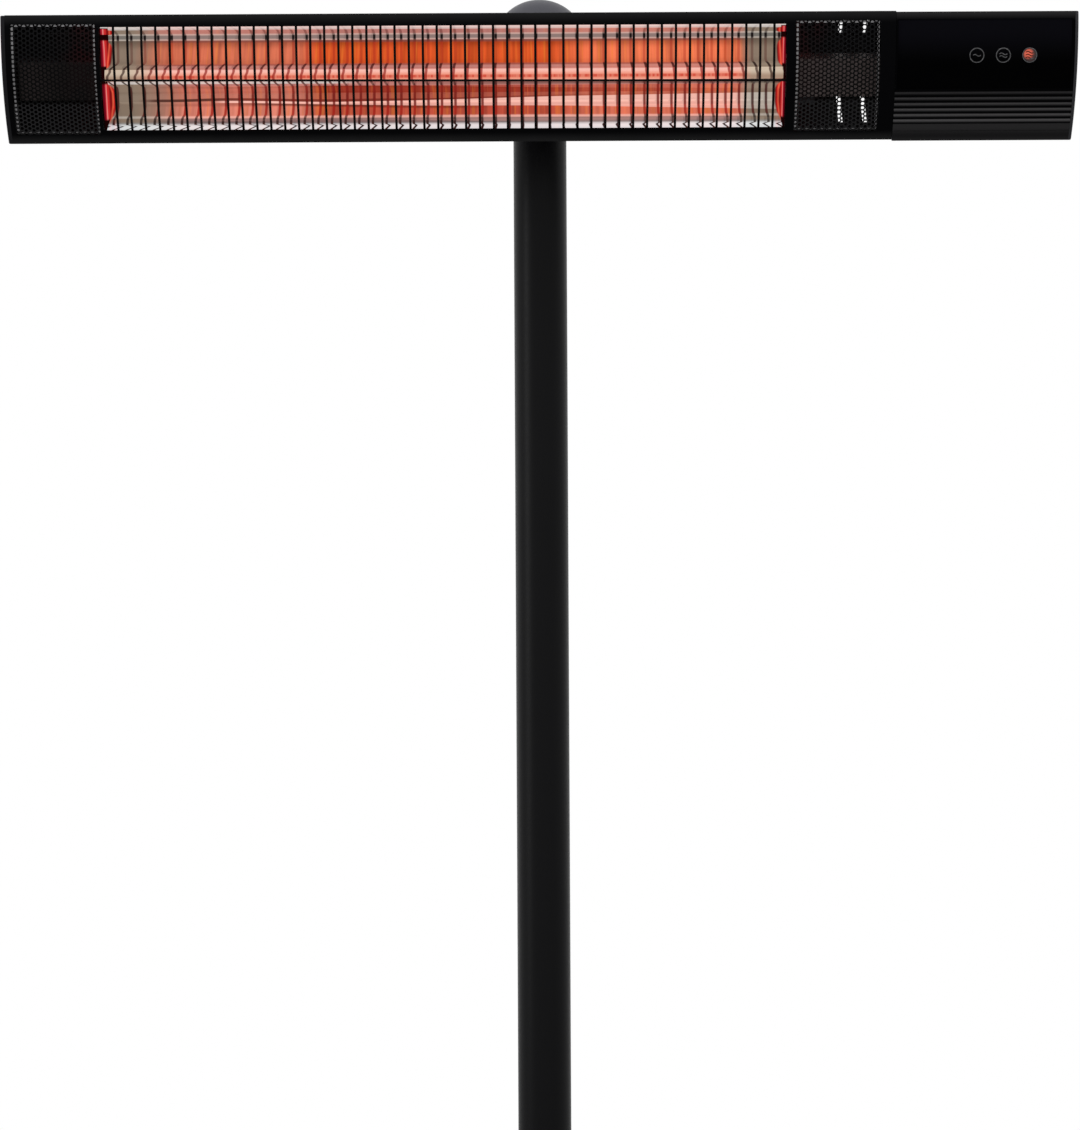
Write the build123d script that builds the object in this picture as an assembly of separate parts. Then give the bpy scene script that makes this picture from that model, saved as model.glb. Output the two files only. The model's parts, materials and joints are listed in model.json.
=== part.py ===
from build123d import *
import os
from math import asin, degrees, sqrt

# Free-standing infrared patio heater: a one metre radiant head on a round pole and a heavy foot.
# Millimetres, +Z up. The heater faces -Y, its control module is at +X, and the origin is the
# centre of the foot's underside.
# The head is drawn in a frame of its own: its X axis is the tilt hinge, the chord of its curved
# front is upright, and REST_TILT then turns it to look down at the people in front of it.

# ---------------------------------------------------------------- stand
FOOT_HEIGHT = 5.0  # rubber pads under the plate
FOOT_R = 16.0
FOOT_COUNT = 6
FOOT_PEG_R = 4.0
FOOT_PEG_LENGTH = 6.0
FOOT_INSET = 26.0  # pad centre to the plate's rim
FOOT_CHAMFER = 1.5
BASE_R = 250.0
BASE_THICK = 12.0
BASE_EDGE_BEVEL = 5.0
FLANGE_R = 62.0
FLANGE_THICK = 8.0
FLANGE_BOLT_CIRCLE_R = 48.0
FLANGE_BOLT_COUNT = 4
SOCKET_LENGTH = 110.0
COVER_R = 78.0  # bell that hides the flange and its bolts
COVER_HEIGHT = 34.0
COVER_WALL = 2.0
COVER_FIT = 0.4  # bell to the pole
COVER_SKIRT = 5.0  # upright rim
COVER_CROWN = 5.0  # flat ring round the pole
COVER_SHOULDER = (16.0, 7.0)  # reach from the pole and drop from the crown
POLE_R = 26.0
POLE_WALL = 1.6
SECTION_LENGTH = 686.0  # three equal tubes
SECTION_COUNT = 3
COUPLER_LENGTH = 130.0
COUPLER_WALL = 3.0
COUPLER_FIT = 0.1
GRUB_R = 3.0
GRUB_OFFSET = 30.0  # grub screw to the seam
GRUB_PROUD = 0.6

# ---------------------------------------------------------------- hub and hinge
BALL_R = 46.7
BALL_RISE = 90.3  # top of the pole to the ball's centre
CAP_SPLIT = 6.0  # cap seam above the ball's centre
CAP_WALL = 3.0
CAP_POCKET_STEP = 14.0  # upright wall of the cap's hollow
CAP_POCKET_HEIGHT = 34.0
POCKET_WALL = 10.0  # ball's wall at its centre
POCKET_DEPTHS = (10.0, 26.0)  # hollow of the ball below its centre: upright, then tapered
HUB_SPIGOT_LENGTH = 60.0
HUB_SPIGOT_BORE = 30.0
NECK_SHARE = 0.8  # how far down the ball its waist starts, of its radius
WAIST_R = 20.0
COLLAR_HEIGHT = 12.0
COLLAR_TAPER = 8.0
HINGE_REACH = 66.0  # pole axis to hinge axis
HINGE_DROP = 15.1  # ball centre to hinge axis
TONGUE_WIDTH = 24.0
HINGE_EYE_R = 13.0
BOLT_R = 4.0
BOLT_BORE_FIT = 0.05
LUG_BORE_FIT = 0.2
WASHER_THICK = 1.5
WASHER_R = 11.0
SLIP = 0.15  # between faces that turn on each other
LUG_THICK = 4.0
BOLT_HEAD_THICK = 5.3
BOLT_HEAD_R = 7.5
KNOB_R = 17.0
KNOB_BOSS_R = 9.0
KNOB_BOSS_HEIGHT = 4.0
KNOB_THICK = 15.0
KNOB_LOBES = 6
KNOB_SCALLOP_R = 6.0
KNOB_SCALLOP_DEPTH = 3.3
KNOB_CHAMFER = 1.2
KNOB_CROWN = 3.0  # end wall past the bolt
REST_TILT = 22.6

# ---------------------------------------------------------------- head, in its own frame
HEAD_LENGTH = 1000.0
HEAD_CHORD = 122.2
FRONT_BULGE = 12.0
HEAD_DEPTH = 74.0  # front chord to the rear wall
REAR_HEIGHT = 48.0
REAR_ROUND = 6.0
SIDE_MID_DEPTH = 40.0
SIDE_MID_HALF = 46.0
HINGE_BEHIND = 24.0  # rear wall to the hinge axis
SHELL_WALL = 2.0
MOUTH_HALF = 57.8  # half height of the shell's open front
FIT = 0.1
BITE = 1.0  # how far a cutter or a joined form runs past the face it starts from
SKIN = 1.5  # front frame sheet
FRAME_LIP = 9.0
FRAME_LIP_GAP = 0.9  # lip to the shell's wall
CAP_THICK = 4.0
CAP_EDGE_ROUND = 1.5
SPIGOT_WALL = 2.0
SPIGOT_DEPTH = 8.0
MODULE_LENGTH = 168.9
JOINT_GAP = 0.3  # extrusion to the module

# The front frame's widths, from the left end to the module; the grille's window takes what is left.
END_MARGIN = 8.5
LEFT_MESH_WIDTH = 79.4
LEFT_BAR = 3.3
RIGHT_BAR = 8.2
RIGHT_MESH_WIDTH = 78.7
MODULE_MARGIN = 14.6
MESH_ZS = (-52.0, 53.6)  # lowest and highest Z of the two mesh windows
GRILLE_ZS = (-47.4, 50.7)
WINDOW_OVERLAP = 1.6  # how far a mesh laps behind its window's edge

WIRE_R = 1.15
WIRE_PITCH = 13.06
WIRE_OVERLAP = 4.0  # hidden behind the rails
CROSS_WIRE_OVERLAP = 2.4
CROSS_WIRE_END = 2.5  # past the window's sides
CROSS_WIRE_Z = -0.35  # the middle one
MESH_THICK = 0.8
HOLE_PITCH = 10.4
HOLE_R = 4.8
MESH_BORDER = 4.6

SHEET = 0.8  # polished reflector sheet
REFLECTOR_FLANGE_HALF = 56.2
REFLECTOR_LIP_HALF = 49.6
REFLECTOR_SHOULDER = (30.0, 46.0)  # depth behind the chord and half height
REFLECTOR_SIDE_GAP = 1.5  # window's side to the sheet's end
TROUGH_DEPTH = 49.5
TROUGH_HALF_HIGH = 36.5
TROUGH_HALF_LOW = 25.0
RIDGE_DEPTH = 23.0
RIDGE_HALF = 7.0
TROUGH_ROUND = 5.0
RIDGE_ROUND = 6.0

LAMP_DEPTH = 15.0
LAMP_R = 5.5
LAMP_WALL = 1.2
LAMP_OVERHANG = 12.0  # tube past the reflector's end plates
PINCH_LENGTH = 13.0
PINCH_HEIGHT = 9.0
PINCH_THICK = 3.2
LAMP_HOLE_FIT = 1.2
COIL_R = 1.9
COIL_RING_R = 4.1
COIL_RING_THICK = 0.8
COIL_RING_PITCH = 40.0
HOLDER_LENGTH = 26.0
HOLDER_HALF_HEIGHT = 11.0
HOLDER_HALF_DEPTH = 10.0
HOLDER_ROUND = 2.0
HOLDER_GROOVE = (4.0, 2.0)  # width and depth
CHANNEL_SHEET = 1.0
CHANNEL_ZS = (-20.4, 15.6)
CHANNEL_DEPTH = 22.0
CHANNEL_END_GAP = 0.8  # to the lip of the cap beside it
PAD_LENGTH = 12.0  # pads of the channel that the holder sits between
PAD_DEPTH = 15.0

CUTOUT_SIZE = (18.0, 12.0, 7.0)
CUTOUT_INSET = 12.0
CUTOUT_SETBACK = 4.0
BLADE_SIZE = (0.8, 5.0, 7.0)
LEAD_R = 1.6
LEAD_BEND = 7.0
LEAD_LOOP = 16.8  # how far the left lead runs out before it turns back
LEAD_LANE_Y = -52.0  # lane behind the reflector's ridge

RAIL_HALF_HEIGHT = 13.0
RAIL_DEPTH = 11.0
RAIL_SLOT_HALF = 3.4
RAIL_CAVITY_HALF = 8.0
RAIL_CAVITY_DEPTH = 6.0
PORT_R = 3.4  # screw channels of the extrusion
PORT_BORE_R = 1.5
PORT_DEPTH = 58.0  # behind the chord
PORT_HALF_HEIGHT = 30.6
FIN_HEIGHT = 1.8
FIN_THICK = 1.8
FIN_PITCH = 6.0
FIN_COUNT = 4
FIRST_FIN_DEPTH = 38.0
VENT_WIDTH = 4.2
VENT_COUNT = 2
VENT_INSET = 23.3  # last vent to the module
VENT_PITCH = 22.9
VENT_INNER_HALF = 24.2
VENT_FIRST_DEPTH = 25.0

BRACKET_HALF_LENGTH = 62.0
BRACKET_HALF_HEIGHT = 20.0
BRACKET_THICK = 4.0
BRACKET_CORNER = 6.0
RAIL_BOLT_X = 50.0
RAIL_BOLT_R = 3.0
RAIL_BOLT_HEAD_R = 5.6
RAIL_BOLT_HEAD_THICK = 4.0
RAIL_NUT_HALF = 7.0
RAIL_NUT_THICK = 4.0

# ---------------------------------------------------------------- control module
MODULE_PROUD = 0.35
MODULE_DROP = 0.85
MODULE_WALL = 2.4
MODULE_FRONT_WALL = 4.2
MODULE_END_THICK = 3.0
END_LIP = 4.0
PANEL_LEFT_MARGIN = 1.5  # module's left edge to the panel
PANEL_RIGHT_MARGIN = 5.7
PANEL_ZS = (-9.7, 54.2)
PANEL_RECESS = 2.2
PANEL_THICK = 1.4
PANEL_FIT = 0.2
RIB_COUNT = 6
RIB_PITCH = 5.5
RIB_TOP_Z = -11.6
RIB_HEIGHT = 1.1
RIB_ROOT = 0.4  # how deep the ribs run into the wall behind their valleys
BAND_STEP_Z = -51.7
BAND_STEP_R = 0.5
ICON_COUNT = 3
ICON_INSET = 45.6  # last icon to the head's end
ICON_PITCH = 24.55
ICON_Z = 21.6
PIPE_R = 2.2
PIPE_FIT = 0.15
BOARD_THICK = 1.6
BOARD_DEPTH = -1.0  # board's front face, behind the chord
BOARD_LEFT_MARGIN = 15.0
BOARD_RIGHT_MARGIN = 14.0
BOARD_ZS = (-12.0, 46.0)
RECEIVER_INSET = 125.0
RECEIVER_SIZE = (9.0, 3.4, 7.0)
RECEIVER_LENS_R = 2.3
BOARD_POST_R = 3.0
BOARD_POST_INSET = 5.0
BOSS_R = 4.2
BOSS_LENGTH = 16.0
TIP_SWITCH_SIZE = (22.0, 18.0, 26.0)
TIP_SWITCH_MARGIN = 12.0  # its centre to the board's left edge
TIP_CUP_HEIGHT = 4.0
RELAY_SIZE = (28.0, 24.0, 12.0)
RELAY_INSET = 70.0
CASE_Z = 18.0  # middle of the tip-over switch and the relay
BLOCK_SIZE = (44.0, 18.0, 14.0)
BLOCK_WAYS = 3
BLOCK_INSET = 100.0
BLOCK_TOP = -2.0
BLOCK_SCREW_R = 3.0
GLAND_INSET = 75.0
GLAND_R = 8.0
GLAND_BORE_R = 4.0
GLAND_HEX_R = 12.4
GLAND_HEX_THICK = 5.0
GLAND_NUT_R = 10.6
GLAND_NUT_LENGTH = 14.0
GLAND_NUT_CHAMFER = 3.0
GLAND_INNER_LENGTH = 10.0
GLAND_FIT = 0.1
SWITCH_DEPTH = 34.0
ROCKER_R = 9.0
ROCKER_HALF_WIDTH = 5.5
ROCKER_TURN = 16.0
ROCKER_FIT = 0.35
ROCKER_PIVOT_INSET = 2.5
ROCKER_CREST = 4.0
ROCKER_PIN_R = 1.0
ROCKER_PIN_LENGTH = 1.6
SWITCH_BEZEL = 2.4
SWITCH_BEZEL_THICK = 1.2
SWITCH_BODY_DEPTH = 16.0
SWITCH_WELL_DEPTH = 9.5
SCREW_HEAD_R = 3.2
SCREW_HEAD_THICK = 2.0
SCREW_HEAD_CHAMFER = 0.8
SCREW_LENGTH = 12.0

# ---------------------------------------------------------------- worked out
PLATE_TOP = FOOT_HEIGHT + BASE_THICK
POLE_FOOT = PLATE_TOP + FLANGE_THICK
POLE_TOP = POLE_FOOT + SECTION_COUNT * SECTION_LENGTH
POLE_BORE_R = POLE_R - POLE_WALL
BALL_Z = POLE_TOP + BALL_RISE
HINGE_Z = BALL_Z - HINGE_DROP

HALF_CHORD = HEAD_CHORD / 2
FRONT_R = (HALF_CHORD**2 + FRONT_BULGE**2) / (2 * FRONT_BULGE)
REAR_Y = -HINGE_BEHIND
CHORD_Y = REAR_Y - HEAD_DEPTH
ARC_Y = CHORD_Y - FRONT_BULGE + FRONT_R
LEFT_END = -HEAD_LENGTH / 2
RIGHT_END = HEAD_LENGTH / 2
SHELL_LEFT = LEFT_END + CAP_THICK
MODULE_LEFT = RIGHT_END - MODULE_LENGTH
SHELL_RIGHT = MODULE_LEFT - JOINT_GAP
END_PLATE_LEFT = RIGHT_END - MODULE_END_THICK

# Windows of the front frame: first and last X, then lowest and highest Z.
LEFT_WINDOW = (LEFT_END + END_MARGIN, LEFT_END + END_MARGIN + LEFT_MESH_WIDTH, *MESH_ZS)
RIGHT_WINDOW = (MODULE_LEFT - MODULE_MARGIN - RIGHT_MESH_WIDTH, MODULE_LEFT - MODULE_MARGIN, *MESH_ZS)
GRILLE_WINDOW = (LEFT_WINDOW[1] + LEFT_BAR, RIGHT_WINDOW[0] - RIGHT_BAR, *GRILLE_ZS)
WIRE_COUNT = int((GRILLE_WINDOW[1] - GRILLE_WINDOW[0]) / WIRE_PITCH)
VENT_XS = [MODULE_LEFT - VENT_INSET - k * VENT_PITCH for k in range(VENT_COUNT)]

PANEL_WINDOW = (MODULE_LEFT + PANEL_LEFT_MARGIN, RIGHT_END - PANEL_RIGHT_MARGIN, *PANEL_ZS)
RIB_LOW_Z = RIB_TOP_Z - RIB_COUNT * RIB_PITCH
RIB_ROUND = ((RIB_PITCH / 2) ** 2 + RIB_HEIGHT**2) / (2 * RIB_HEIGHT)
ICON_XS = [RIGHT_END - ICON_INSET - k * ICON_PITCH for k in range(ICON_COUNT)]
BOARD_XS = (MODULE_LEFT + BOARD_LEFT_MARGIN, RIGHT_END - BOARD_RIGHT_MARGIN)
RECEIVER_X = RIGHT_END - RECEIVER_INSET
TIP_SWITCH_X = BOARD_XS[0] + TIP_SWITCH_MARGIN
RELAY_X = RIGHT_END - RELAY_INSET
BLOCK_X = RIGHT_END - BLOCK_INSET
GLAND_X = RIGHT_END - GLAND_INSET

WIRE_ARC_R = FRONT_R - SKIN - FIT - WIRE_R
CROSS_ARC_R = WIRE_ARC_R - 2 * WIRE_R - FIT / 2
FLANGE_OUTER_R = CROSS_ARC_R - WIRE_R - 2 * FIT
GRILLE_MID_X = (GRILLE_WINDOW[0] + GRILLE_WINDOW[1]) / 2
REFLECTOR_LEFT = GRILLE_WINDOW[0] + REFLECTOR_SIDE_GAP
REFLECTOR_RIGHT = GRILLE_WINDOW[1] - REFLECTOR_SIDE_GAP
LAMP_Y = CHORD_Y + LAMP_DEPTH
LAMP_LEFT = REFLECTOR_LEFT - LAMP_OVERHANG
LAMP_RIGHT = REFLECTOR_RIGHT + LAMP_OVERHANG
LUG_INNER = TONGUE_WIDTH / 2 + WASHER_THICK + 2 * SLIP
LUG_OUTER = LUG_INNER + LUG_THICK
BRACKET_BACK = REAR_Y + BRACKET_THICK
SWITCH_Y = CHORD_Y + SWITCH_DEPTH
ROCKER_PIVOT_X = RIGHT_END - ROCKER_PIVOT_INSET

HEAD_PLACE = Pos(0, -HINGE_REACH, HINGE_Z) * Rot(REST_TILT, 0, 0)


# ---------------------------------------------------------------- helpers
def prism_x(section, x_from, x_to):
    """A section drawn as (Y, Z), pushed along X from one station to another."""
    return extrude(Plane.YZ.offset(x_from) * section, x_to - x_from)


def block(x_from, x_to, y_from, y_to, z_from, z_to):
    """A box between six faces."""
    middle = Pos((x_from + x_to) / 2, (y_from + y_to) / 2, (z_from + z_to) / 2)
    return middle * Box(abs(x_to - x_from), abs(y_to - y_from), abs(z_to - z_from))


def rod_x(radius, x_from, x_to, y=0.0, z=0.0):
    """A round bar along X."""
    return prism_x(Pos(y, z) * Circle(radius), x_from, x_to)


def rod_y(radius, y_from, y_to, x=0.0, z=0.0):
    """A round bar along Y."""
    return extrude(Plane.XZ.offset(-y_from) * Pos(x, z) * Circle(radius), y_from - y_to)


def hexagon_x(radius, x_from, x_to):
    """A hexagonal bar along X, given across its corners."""
    return prism_x(RegularPolygon(radius, 6), x_from, x_to)


def turned(points):
    """A solid turned about Z from (radius, height) points."""
    return revolve(Plane.XZ * make_face(Polyline(*points, close=True)), Axis.Z)


def front_y(z, inset=0.0):
    """Y of the curved front at a height, inset from its outer skin."""
    return ARC_Y - sqrt((FRONT_R - inset) ** 2 - z**2)


def front_disc(inset):
    """Everything behind the curved front, inset from its outer skin."""
    return Pos(ARC_Y, 0) * Circle(FRONT_R - inset)


def arc_band(outer_inset, inner_inset, z_low, z_high):
    """A strip of the curved front, between two insets and two heights."""
    strip_depth = FRONT_BULGE + inner_inset + REAR_HEIGHT / 2
    strip = Pos(CHORD_Y - FRONT_BULGE + strip_depth / 2, (z_low + z_high) / 2)
    ring = front_disc(outer_inset) - front_disc(inner_inset)
    return ring & (strip * Rectangle(strip_depth + 2 * FRONT_BULGE, z_high - z_low))


def window_cut(window):
    """A cutter through the front for one window of the frame."""
    x_from, x_to, z_from, z_to = window
    return block(x_from, x_to, CHORD_Y - 2 * FRONT_BULGE, CHORD_Y + FRONT_BULGE, z_from, z_to)


def head_outline():
    """Outer section of the head: bulged front, tapering sides and a narrow flat back."""
    front = ThreePointArc(
        (CHORD_Y, -HALF_CHORD), (CHORD_Y - FRONT_BULGE, 0), (CHORD_Y, HALF_CHORD)
    )
    side_y = CHORD_Y + SIDE_MID_DEPTH
    top = ThreePointArc(
        (CHORD_Y, HALF_CHORD), (side_y, SIDE_MID_HALF), (REAR_Y, REAR_HEIGHT / 2)
    )
    back = Line((REAR_Y, REAR_HEIGHT / 2), (REAR_Y, -REAR_HEIGHT / 2))
    bottom = ThreePointArc(
        (REAR_Y, -REAR_HEIGHT / 2), (side_y, -SIDE_MID_HALF), (CHORD_Y, -HALF_CHORD)
    )
    outline = make_face(Curve() + [front, top, back, bottom])
    return fillet(outline.vertices().sort_by(Axis.X)[-2:], REAR_ROUND)


def module_outline():
    """The control module's section: the head's, a touch larger and lower."""
    return Pos(0, -MODULE_DROP) * offset(head_outline(), MODULE_PROUD)


def in_front_of(depth):
    """A half plane in front of a depth behind the chord, as a section."""
    return Pos(CHORD_Y + depth - FRONT_R, 0) * Rectangle(2 * FRONT_R, 2 * HEAD_CHORD)


# ---------------------------------------------------------------- foot and pole
def around(radius, count, first=0.0):
    return PolarLocations(radius, count, start_angle=first)


def base_plate():
    """Round steel slab with a bevelled rim, tapped for the flange and bored for the feet."""
    slab = Pos(0, 0, FOOT_HEIGHT) * Cylinder(
        BASE_R, BASE_THICK, align=(Align.CENTER, Align.CENTER, Align.MIN)
    )
    slab = chamfer(slab.edges().group_by(Axis.Z)[-1], BASE_EDGE_BEVEL)
    bolt_hole = Cylinder(BOLT_R + FIT, 4 * BASE_THICK)
    slab -= [place * bolt_hole for place in around(FLANGE_BOLT_CIRCLE_R, FLANGE_BOLT_COUNT, 45)]
    peg_hole = Pos(0, 0, FOOT_HEIGHT) * Cylinder(FOOT_PEG_R + FIT, 2 * (FOOT_PEG_LENGTH + FIT))
    slab -= [place * peg_hole for place in around(BASE_R - FOOT_INSET, FOOT_COUNT)]
    return slab


def base_feet():
    """Rubber pads pegged into the plate's underside."""
    foot = turned(
        [
            (0, 0),
            (FOOT_R - FOOT_CHAMFER, 0),
            (FOOT_R, FOOT_CHAMFER),
            (FOOT_R, FOOT_HEIGHT),
            (FOOT_PEG_R, FOOT_HEIGHT),
            (FOOT_PEG_R, FOOT_HEIGHT + FOOT_PEG_LENGTH),
            (0, FOOT_HEIGHT + FOOT_PEG_LENGTH),
        ]
    )
    return Compound([place * foot for place in around(BASE_R - FOOT_INSET, FOOT_COUNT)])


def pole_flange():
    """Welded flange whose tube goes up inside the pole."""
    socket_r = POLE_BORE_R - COUPLER_FIT
    flange = turned(
        [
            (socket_r - COUPLER_WALL, PLATE_TOP),
            (FLANGE_R, PLATE_TOP),
            (FLANGE_R, POLE_FOOT),
            (socket_r, POLE_FOOT),
            (socket_r, POLE_FOOT + SOCKET_LENGTH),
            (socket_r - COUPLER_WALL, POLE_FOOT + SOCKET_LENGTH),
        ]
    )
    hole = Pos(0, 0, POLE_FOOT) * Cylinder(BOLT_R + FIT, 4 * FLANGE_THICK)
    flange -= [place * hole for place in around(FLANGE_BOLT_CIRCLE_R, FLANGE_BOLT_COUNT, 45)]
    return flange - rod_y(GRUB_R + FIT, 0, POLE_R, 0, POLE_FOOT + GRUB_OFFSET)


def flange_bolts():
    """Hexagon bolts that hold the flange on the plate."""
    head = Pos(0, 0, POLE_FOOT) * extrude(RegularPolygon(BOLT_HEAD_R, 6), BOLT_HEAD_THICK)
    shank_length = FLANGE_THICK + BASE_THICK - BITE
    shank = Pos(0, 0, POLE_FOOT - shank_length / 2) * Cylinder(BOLT_R, shank_length)
    bolt = head + shank
    spots = around(FLANGE_BOLT_CIRCLE_R, FLANGE_BOLT_COUNT, 45)
    return Compound([place * bolt for place in spots])


def base_cover():
    """Spun bell over the flange, open under and bored for the pole."""
    neck_r = POLE_R + COVER_FIT
    top = PLATE_TOP + COVER_HEIGHT
    shoulder_r = neck_r + COVER_SHOULDER[0]
    shoulder_z = top - COVER_SHOULDER[1]
    outer = [
        (COVER_R, PLATE_TOP),
        (COVER_R, PLATE_TOP + COVER_SKIRT),
        (shoulder_r, shoulder_z),
        (neck_r + COVER_CROWN, top),
    ]
    inner = [
        (neck_r, top),
        (neck_r, top - COVER_WALL),
        (neck_r + COVER_CROWN, top - COVER_WALL),
        (shoulder_r - COVER_WALL / 2, shoulder_z - COVER_WALL),
        (COVER_R - COVER_WALL, PLATE_TOP + COVER_SKIRT - COVER_WALL / 2),
        (COVER_R - COVER_WALL, PLATE_TOP),
    ]
    return turned(outer + inner)


def pole_section(index):
    """One tube of the pole, counted from the foot."""
    low = POLE_FOOT + index * SECTION_LENGTH
    ring = Circle(POLE_R) - Circle(POLE_BORE_R)
    tube = extrude(Plane.XY.offset(low) * ring, SECTION_LENGTH)
    for seam, reach in ((low, GRUB_OFFSET), (low + SECTION_LENGTH, -GRUB_OFFSET)):
        tube -= rod_y(GRUB_R + FIT, POLE_BORE_R / 2, POLE_R + BITE, 0, seam + reach)
    return tube


def pole_coupler(index):
    """Sleeve inside two tubes, centred on the seam above section `index`."""
    seam = POLE_FOOT + (index + 1) * SECTION_LENGTH
    sleeve_r = POLE_BORE_R - COUPLER_FIT
    ring = Circle(sleeve_r) - Circle(sleeve_r - COUPLER_WALL)
    sleeve = extrude(Plane.XY.offset(seam - COUPLER_LENGTH / 2) * ring, COUPLER_LENGTH)
    for reach in (-GRUB_OFFSET, GRUB_OFFSET):
        sleeve -= rod_y(GRUB_R + FIT, 0, POLE_R, 0, seam + reach)
    return sleeve


def pole_screws():
    """Flush screws at the back of the pole: two at each coupler, one in the foot and the hub."""
    seams = [POLE_FOOT + k * SECTION_LENGTH for k in range(SECTION_COUNT + 1)]
    heights = [seam - GRUB_OFFSET for seam in seams[1:]] + [seam + GRUB_OFFSET for seam in seams[:-1]]
    screws = [
        rod_y(GRUB_R, POLE_BORE_R - COUPLER_FIT - COUPLER_WALL, POLE_R + GRUB_PROUD, 0, z)
        for z in sorted(heights)
    ]
    return Compound(screws)


# ---------------------------------------------------------------- hub and hinge
def ball_radius_at(rise):
    return sqrt(BALL_R**2 - rise**2)


def ball_pocket():
    """The hollow of the ball: an upright wall, then a taper to a flat floor."""
    pocket_r = BALL_R - POCKET_WALL
    upright, floor = POCKET_DEPTHS
    return turned(
        [
            (0, BALL_Z - floor),
            (pocket_r / 2, BALL_Z - floor),
            (pocket_r, BALL_Z - upright),
            (pocket_r, BALL_Z + CAP_SPLIT),
            (0, BALL_Z + CAP_SPLIT),
        ]
    )


def hinge_hub():
    """Cast hub: spigot in the pole, waist, ball, and the tongue that carries the hinge bolt."""
    spigot_r = POLE_BORE_R - COUPLER_FIT
    spigot_foot = POLE_TOP - HUB_SPIGOT_LENGTH
    waist_low = POLE_TOP + COLLAR_HEIGHT
    neck_z = BALL_Z - NECK_SHARE * BALL_R
    neck_r = ball_radius_at(NECK_SHARE * BALL_R)
    split_z = BALL_Z + CAP_SPLIT
    split_r = ball_radius_at(CAP_SPLIT)
    outline = Polyline(
        (split_r, split_z),
        (0, split_z),
        (0, spigot_foot + HUB_SPIGOT_BORE),
        (spigot_r - COUPLER_WALL, spigot_foot + HUB_SPIGOT_BORE),
        (spigot_r - COUPLER_WALL, spigot_foot),
        (spigot_r, spigot_foot),
        (spigot_r, POLE_TOP),
        (POLE_R, POLE_TOP),
        (POLE_R, waist_low),
        (WAIST_R, waist_low + COLLAR_TAPER),
        (WAIST_R, neck_z - COLLAR_TAPER),
        (neck_r, neck_z),
    )
    ball = ThreePointArc((neck_r, neck_z), (BALL_R, BALL_Z), (split_r, split_z))
    body = revolve(Plane.XZ * make_face(Curve() + [outline, ball]), Axis.Z)
    eye = Pos(-HINGE_REACH, HINGE_Z) * Circle(HINGE_EYE_R)
    arm_length = HINGE_REACH - BALL_R / 2
    arm = Pos(-HINGE_REACH + arm_length / 2, HINGE_Z) * Rectangle(arm_length, 2 * HINGE_EYE_R)
    tongue = prism_x(eye + arm, -TONGUE_WIDTH / 2, TONGUE_WIDTH / 2)
    bore = rod_x(BOLT_R + BOLT_BORE_FIT, -TONGUE_WIDTH, TONGUE_WIDTH, -HINGE_REACH, HINGE_Z)
    grub_hole = rod_y(GRUB_R + FIT, 0, POLE_R, 0, POLE_TOP - GRUB_OFFSET)
    return body + tongue - ball_pocket() - bore - grub_hole


def hub_cap():
    """Domed cap over the ball, hollow below, which shows above the head."""
    low = BALL_Z + CAP_SPLIT
    rim_r = ball_radius_at(CAP_SPLIT)
    inner_r = ball_radius_at(CAP_SPLIT + CAP_POCKET_STEP) - CAP_WALL
    dome = ThreePointArc((rim_r, low), (BALL_R * 0.6, BALL_Z + BALL_R * 0.8), (0, BALL_Z + BALL_R))
    below = Polyline(
        (0, BALL_Z + BALL_R),
        (0, low + CAP_POCKET_HEIGHT),
        (inner_r / 2, low + CAP_POCKET_HEIGHT),
        (inner_r, low + CAP_POCKET_STEP),
        (inner_r, low),
        (rim_r, low),
    )
    return revolve(Plane.XZ * make_face(Curve() + [dome, below]), Axis.Z)


def at_hinge(shape):
    """Puts a piece drawn about the hinge axis on the stand."""
    return Pos(0, -HINGE_REACH, HINGE_Z) * shape


def hinge_bolt():
    """Bolt through the bracket's ears and the tongue."""
    head = hexagon_x(BOLT_HEAD_R, -LUG_OUTER - SLIP - BOLT_HEAD_THICK, -LUG_OUTER - SLIP)
    shank = rod_x(BOLT_R, -LUG_OUTER - SLIP - BITE, LUG_OUTER + SLIP + KNOB_THICK)
    return at_hinge(head + shank)


def friction_washers():
    """A disc on each side of the tongue, which grips the bracket's ears."""
    inner = TONGUE_WIDTH / 2 + SLIP
    disc = prism_x(Circle(WASHER_R) - Circle(BOLT_R + LUG_BORE_FIT), inner, inner + WASHER_THICK)
    return at_hinge(Compound([disc, disc.mirror(Plane.YZ)]))


def tilt_knob():
    """Lobed clamp knob on the bolt's free end."""
    inner = LUG_OUTER + SLIP
    body = inner + KNOB_BOSS_HEIGHT
    outer = inner + KNOB_THICK + KNOB_CROWN
    lobes = Circle(KNOB_R)
    scallop_circle = KNOB_R + KNOB_SCALLOP_R - KNOB_SCALLOP_DEPTH
    lobes -= [place * Circle(KNOB_SCALLOP_R) for place in around(scallop_circle, KNOB_LOBES)]
    grip = prism_x(lobes, body, outer)
    grip = chamfer(grip.edges().group_by(Axis.X)[-1], KNOB_CHAMFER)
    knob = grip + rod_x(KNOB_BOSS_R, inner, body)
    return at_hinge(knob - rod_x(BOLT_R + BOLT_BORE_FIT, inner - BITE, inner + KNOB_THICK + FIT))


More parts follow.
